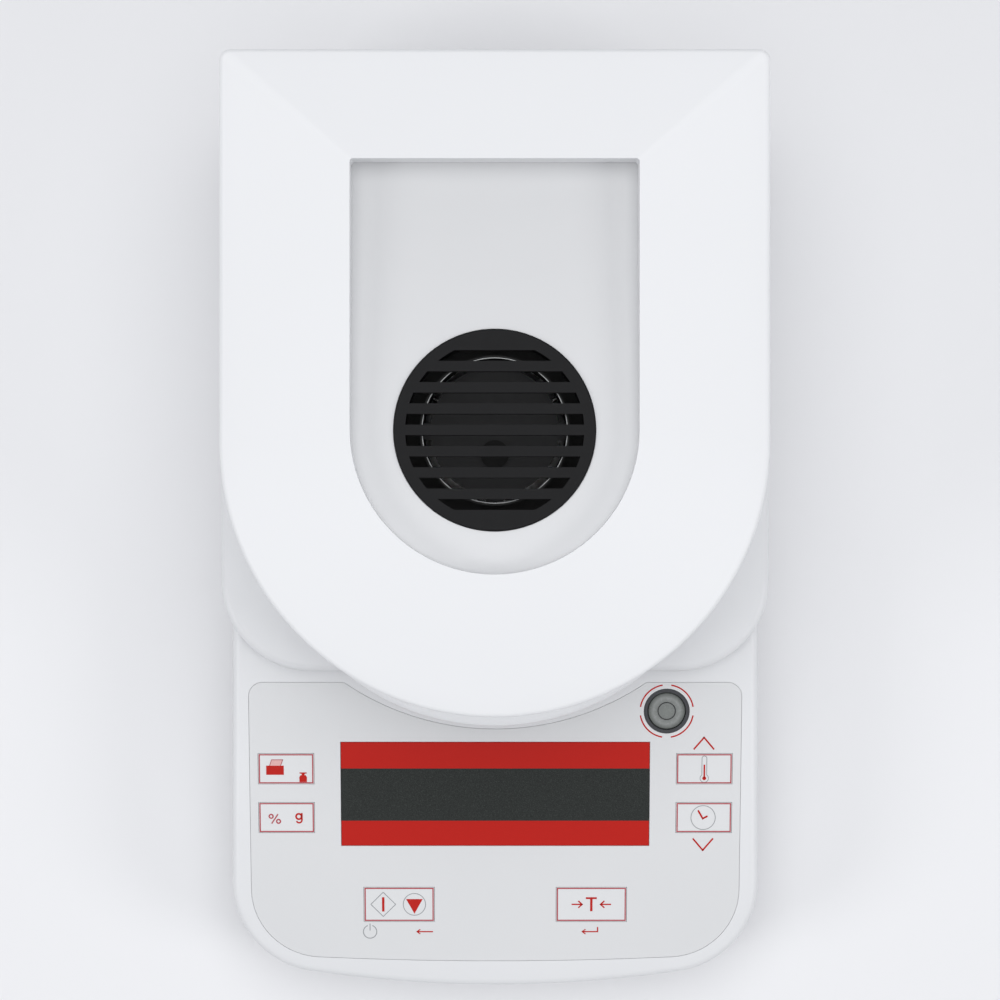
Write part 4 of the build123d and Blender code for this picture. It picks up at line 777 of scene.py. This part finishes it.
class Growth:
    """A Geometry Nodes tree with named sizes, run once on a mesh of points."""

    def __init__(self, name, sizes):
        self.name, self.sizes = name, sizes
        self.tree = bpy.data.node_groups.new(name, "GeometryNodeTree")
        face = self.tree.interface
        face.new_socket(name="Geometry", in_out="INPUT", socket_type="NodeSocketGeometry")
        face.new_socket(name="Geometry", in_out="OUTPUT", socket_type="NodeSocketGeometry")
        made = [face.new_socket(name=label, in_out="INPUT", socket_type="NodeSocketFloat") for label in sizes]
        self.keys = {socket.name: socket.identifier for socket in made}
        self.entry = self.tree.nodes.new("NodeGroupInput")
        self.exit = self.tree.nodes.new("NodeGroupOutput")
        self.points = Socket(self, self.entry.outputs["Geometry"])

    def __getitem__(self, label):
        return Socket(self, self.entry.outputs[label])

    def node(self, kind, settings=None, sockets=None, output=0):
        made = self.tree.nodes.new(kind)
        for key, value in (settings or {}).items():
            setattr(made, key, value)
        for key, value in (sockets or {}).items():
            for one in value if isinstance(value, list) else [value]:
                if isinstance(one, Socket):
                    self.tree.links.new(one.output, made.inputs[key])
                else:
                    made.inputs[key].default_value = one
        return Socket(self, made.outputs[output])

    def ring(self, radius, resolution):
        sockets = {"Radius": radius, "Resolution": resolution}
        return self.node("GeometryNodeCurvePrimitiveCircle", sockets=sockets)

    def join(self, *parts):
        return self.node("GeometryNodeJoinGeometry", sockets={0: list(parts)[::-1]})

    def sweep(self, path, radius, resolution):
        sockets = {"Curve": path, "Profile Curve": self.ring(radius, resolution), "Fill Caps": True}
        return self.node("GeometryNodeCurveToMesh", sockets=sockets)

    def move(self, geometry, place=(0, 0, 0), turn=(0, 0, 0)):
        sockets = {0: geometry, "Translation": place, "Rotation": turn}
        return self.node("GeometryNodeTransform", sockets=sockets)

    def upright(self, height):
        return self.node("ShaderNodeCombineXYZ", sockets={"Z": height})

    def prism(self, outline, height):
        """Closed solid from one or more flat outlines, with holes where they lie in each other."""
        face = self.node("GeometryNodeFillCurve", sockets={0: outline})
        raised = {"Mesh": face, "Offset Scale": height, "Individual": False}
        walls = self.node("GeometryNodeExtrudeMesh", sockets=raised)
        under = self.node("GeometryNodeFlipFaces", sockets={0: face})
        sockets = {0: self.join(under, walls), "Distance": 0.000001}
        return self.node("GeometryNodeMergeByDistance", sockets=sockets)

    def on_points(self, instance, turn=(0, 0, 0)):
        """A copy of an instance on each point of the seed mesh."""
        sockets = {"Points": self.points, "Instance": instance, "Rotation": turn}
        return self.node("GeometryNodeInstanceOnPoints", sockets=sockets)

    def grown(self, name, body, material, points=((0, 0, 0),), replaces=None, smooth=40.0):
        """The tree's result as one plain mesh piece that rides on a body."""
        mesh = bpy.data.meshes.new(name)
        mesh.from_pydata([Vector(point) * mm for point in points], [], [])
        seed = bpy.data.objects.new(f"{name}_seed", mesh)
        bpy.context.scene.collection.objects.link(seed)
        grow = seed.modifiers.new("growth", "NODES")
        grow.node_group = self.tree
        for label, identifier in self.keys.items():
            grow[identifier] = float(self.sizes[label])
        result = bpy.data.meshes.new_from_object(seed.evaluated_get(bpy.context.evaluated_depsgraph_get()))
        bpy.data.objects.remove(seed)
        return finish_piece(name, result, body, material, replaces, smooth)

    def ends(self, geometry, material):
        real = self.node("GeometryNodeRealizeInstances", sockets={0: geometry})
        done = self.node("GeometryNodeSetMaterial", sockets={0: real, "Material": material})
        self.tree.links.new(done.output, self.exit.inputs[0])
        return self


def finish_piece(name, mesh, body, material, replaces=None, smooth=40.0):
    """Shade a mesh softly across its gentle edges and hand it over as a piece."""
    work = bmesh.new()
    work.from_mesh(mesh)
    bmesh.ops.remove_doubles(work, verts=work.verts, dist=0.0000005)
    bmesh.ops.recalc_face_normals(work, faces=work.faces)
    for face in work.faces:
        face.smooth = True
    for edge in work.edges:
        edge.smooth = len(edge.link_faces) == 2 and edge.calc_face_angle(0.0) < math.radians(smooth)
    work.to_mesh(mesh)
    work.free()
    mesh.name = name
    piece = link(name, mesh, material)
    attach(piece, body)
    if replaces:
        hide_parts(replaces)
    return piece


def lathe(name, profile, node, steps=96):
    """A closed profile of radius and height, in millimetres, turned about the chamber's axis."""
    work = bmesh.new()
    corners = [work.verts.new((radius * mm, chamber_y * mm, height * mm)) for radius, height in profile]
    edges = [work.edges.new(pair) for pair in zip(corners, corners[1:])]
    bmesh.ops.spin(work, geom=corners + edges, cent=(0, chamber_y * mm, 0), axis=(0, 0, 1), angle=2 * math.pi,
                   steps=steps, use_merge=True, use_duplicate=False)
    bmesh.ops.remove_doubles(work, verts=work.verts, dist=0.000001)
    mesh = bpy.data.meshes.new(name)
    work.to_mesh(mesh)
    work.free()
    material = nodes[node].data.materials[0]
    return finish_piece(name, mesh, nodes[node]["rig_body"], material, node, 30.0)


def socket_screws(name, node, places, seat, head_height, shank_length):
    """Socket-head screws whose heads hang down from their seats."""
    sizes = {"Head Radius": 2.8 * mm, "Head Height": head_height * mm, "Key Radius": 1.45 * mm,
             "Key Depth": 0.7 * head_height * mm, "Shank Radius": 1.5 * mm, "Shank Length": shank_length * mm}
    tree = Growth("socket_screw", sizes)
    key = tree.ring(tree["Key Radius"], 6)
    head = tree.prism(tree.join(tree.ring(tree["Head Radius"], 32), key), tree["Head Height"])
    plug = tree.prism(key, tree["Head Height"] - tree["Key Depth"])
    shank = tree.prism(tree.ring(tree["Shank Radius"], 20), tree["Shank Length"])
    shank = tree.move(shank, tree.upright(-1 * tree["Shank Length"]))
    material = nodes[node].data.materials[0]
    tree.ends(tree.on_points(tree.join(head, plug, shank), turn=(math.pi, 0, 0)), material)
    points = [(x, y, seat) for x, y in places]
    return tree.grown(name, nodes[node]["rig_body"], material, points, node, 25.0)


def heater_sheath(name, radius, start, sweep, material, replaces=None):
    """Part of the round heating tube, between two angles about the chamber's axis."""
    sizes = {"Bend Radius": heater_radius * mm, "Tube Radius": radius * mm,
             "Start": math.radians(start), "Sweep": math.radians(sweep)}
    tree = Growth("heating_tube", sizes)
    sockets = {"Resolution": 96, "Radius": tree["Bend Radius"]}
    sockets |= {"Start Angle": tree["Start"], "Sweep Angle": tree["Sweep"]}
    path = tree.node("GeometryNodeCurveArc", {"mode": "RADIUS"}, sockets)
    tube = tree.sweep(path, tree["Tube Radius"], 20)
    tree.ends(tree.move(tube, (0, chamber_y * mm, heater_z * mm)), material)
    return tree.grown(name, "hood", material, replaces=replaces)


def guard_wires(name, node):
    """Three wire rings below the heater, welded to three radial bars."""
    sizes = {"Inner Ring": 16.0 * mm, "Middle Ring": 32.0 * mm, "Outer Ring": 48.0 * mm, "Wire": 0.9 * mm,
             "Bar": 0.72 * mm, "Bar Start": 14.0 * mm, "Bar End": 53.0 * mm, "Bar Rise": 1.05 * mm}
    tree = Growth("guard_grid", sizes)
    labels = ("Inner Ring", "Middle Ring", "Outer Ring")
    rings = [tree.sweep(tree.ring(tree[label], 96), tree["Wire"], 10) for label in labels]
    ends = {}
    for end in ("Start", "End"):
        place = {"X": tree[f"Bar {end}"], "Z": tree["Bar Rise"]}
        ends[end] = tree.node("ShaderNodeCombineXYZ", sockets=place)
    line = tree.node("GeometryNodeCurvePrimitiveLine", sockets=ends)
    bar = tree.sweep(line, tree["Bar"], 10)
    bars = [tree.move(bar, turn=(0, 0, math.radians(angle))) for angle in (30, 150, 270)]
    material = nodes[node].data.materials[0]
    tree.ends(tree.move(tree.join(*rings, *bars), (0, chamber_y * mm, guard_z * mm)), material)
    return tree.grown(name, "hood", material, replaces=node)


def port_pins(name, node):
    """Nine round contact pins in two rows at the bottom of the serial port."""
    sizes = {"Pin Radius": 0.5 * mm, "Pin Length": 4.2 * mm}
    tree = Growth("contact_pins", sizes)
    pin = tree.prism(tree.ring(tree["Pin Radius"], 14), tree["Pin Length"])
    material = finishes["bright_steel"]
    tree.ends(tree.on_points(tree.move(pin, turn=(-math.pi / 2, 0, 0))), material)
    points = []
    for count, rise in ((5, pin_row_rise), (4, -pin_row_rise)):
        first_x = port_x - pin_pitch * (count - 1) / 2
        points += [(first_x + pin_pitch * i, port_bottom_y, port_z + rise) for i in range(count)]
    return tree.grown(name, nodes[node]["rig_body"], material, points)


heater_radius, heater_z = 37.0, 88.0
guard_z = 78.0
port_x, port_z, port_bottom_y = -42.0, 42.0, 135.5
pin_pitch, pin_row_rise = 2.77, 1.42
housing_screw_places = [(side * x, y) for side in (-1, 1) for x, y in ((50, -122), (70, -20), (70, 98))]
hood_screw_places = [(side * x, y) for side in (-1, 1) for x, y in ((66, 100), (57.945, -8.028))]
socket_screws("housing_socket_screws", "housing_screws", housing_screw_places, 8.0, 1.85, 23.0)
socket_screws("hood_socket_screws", "hood_screws", hood_screw_places, 62.3, 1.2, 13.0)
guard_wires("heater_guard_wires", "heater_guard")
port_pins("serial_port_pins", "serial_port")
sheath_metal = own_finishes["heater_ring"]
sheath_start, sheath_sweep, collar_sweep = 103.5, 333.0, 6.0
heater_sheath("heater_tube", 3.95, sheath_start, sheath_sweep, sheath_metal, "heater_ring")
for side_name, start in (("left", 102.5), ("right", 71.5)):
    heater_sheath(f"heater_{side_name}_collar", 4.5, start, collar_sweep, finishes["ceramic"])

# Sample pan: drawn sheet with a beaded rim, a soft corner and three stiffening rings in its floor
floor_top, floor_low = 47.8, 47.0
ring_form = [(0.0, 0.0), (0.6, 0.3), (1.8, 0.3), (2.4, 0.0)]
ring_starts = (12.0, 22.0, 32.0)
floor_rings = [(start + step, rise) for start in ring_starts for step, rise in ring_form]
pan_inside = [(39.4, 47.8), (40.2, 48.1), (40.5, 48.8), (41.3, 53.9), (41.6, 54.9), (42.3, 55.5)]
pan_bead = [(44.5, 55.5), (44.86, 55.34), (45.0, 55.1), (44.86, 54.84), (44.5, 54.7)]
pan_outside = [(42.9, 54.7), (42.4, 54.3), (41.4, 48.8), (41.0, 47.6), (40.0, 47.0)]
pan_profile = [(0.0, floor_top)] + [(radius, floor_top + rise) for radius, rise in floor_rings]
pan_profile += pan_inside + pan_bead + pan_outside
pan_profile += [(radius, floor_low + rise) for radius, rise in floor_rings[::-1]] + [(0.0, floor_low)]
lathe("sample_pan_drawn", pan_profile, "sample_pan")

# Skins: welded copies of the other solids, softly shaded
grown_nodes = {"housing_screws", "hood_screws", "heater_guard", "heater_ring", "sample_pan"}
for node in nodes:
    if node not in grown_nodes:
        smooth_copy(node)


# Studio: a pale floor, a broad soft light above and a bright even surround


def studio_floor():
    mesh = bpy.data.meshes.new("studio_floor")
    half = 3.0
    corners = [(-half, -half, 0), (half, -half, 0), (half, half, 0), (-half, half, 0)]
    mesh.from_pydata([Vector(corner) for corner in corners], [], [(0, 1, 2, 3)])
    finish = Finish("pale_floor")
    cloud = finish.noise(3.0)
    tone = finish.mix(cloud, (0.80, 0.80, 0.81), (0.84, 0.84, 0.85))
    floor = link("studio_floor", mesh, finish.done(base_color=tone, roughness=0.8))


def area_light(name, place, target, size, power, colour=(1.0, 1.0, 1.0)):
    lamp = bpy.data.lights.new(name, "AREA")
    lamp.shape = "DISK"
    lamp.size, lamp.energy, lamp.color = size, power, colour
    light = bpy.data.objects.new(name, lamp)
    light.location = place
    light.rotation_euler = (Vector(target) - Vector(place)).to_track_quat("-Z", "Y").to_euler()
    bpy.context.scene.collection.objects.link(light)


studio_floor()
area_light("overhead_softbox", (0.0, 0.3, 1.5), (0, 0, 0), 1.3, 10.0)
area_light("left_softbox", (-1.1, -0.4, 0.9), (0, 0, 0.05), 0.6, 4.0)
area_light("right_softbox", (1.1, -0.4, 0.9), (0, 0, 0.05), 0.6, 4.0)

world = bpy.data.worlds.new("studio_surround")
world.use_nodes = True
world.node_tree.nodes["Background"].inputs["Color"].default_value = (0.93, 0.95, 1.0, 1.0)
world.node_tree.nodes["Background"].inputs["Strength"].default_value = 0.5
bpy.context.scene.world = world
bpy.context.scene.view_settings.view_transform = "Standard"

camera_data = bpy.data.cameras.new("camera_above")
camera_data.lens = camera_lens
camera_data.sensor_width = camera_sensor
camera = bpy.data.objects.new("camera_above", camera_data)
camera.location = (camera_x, camera_y, camera_height)
bpy.context.scene.collection.objects.link(camera)
bpy.context.scene.camera = camera
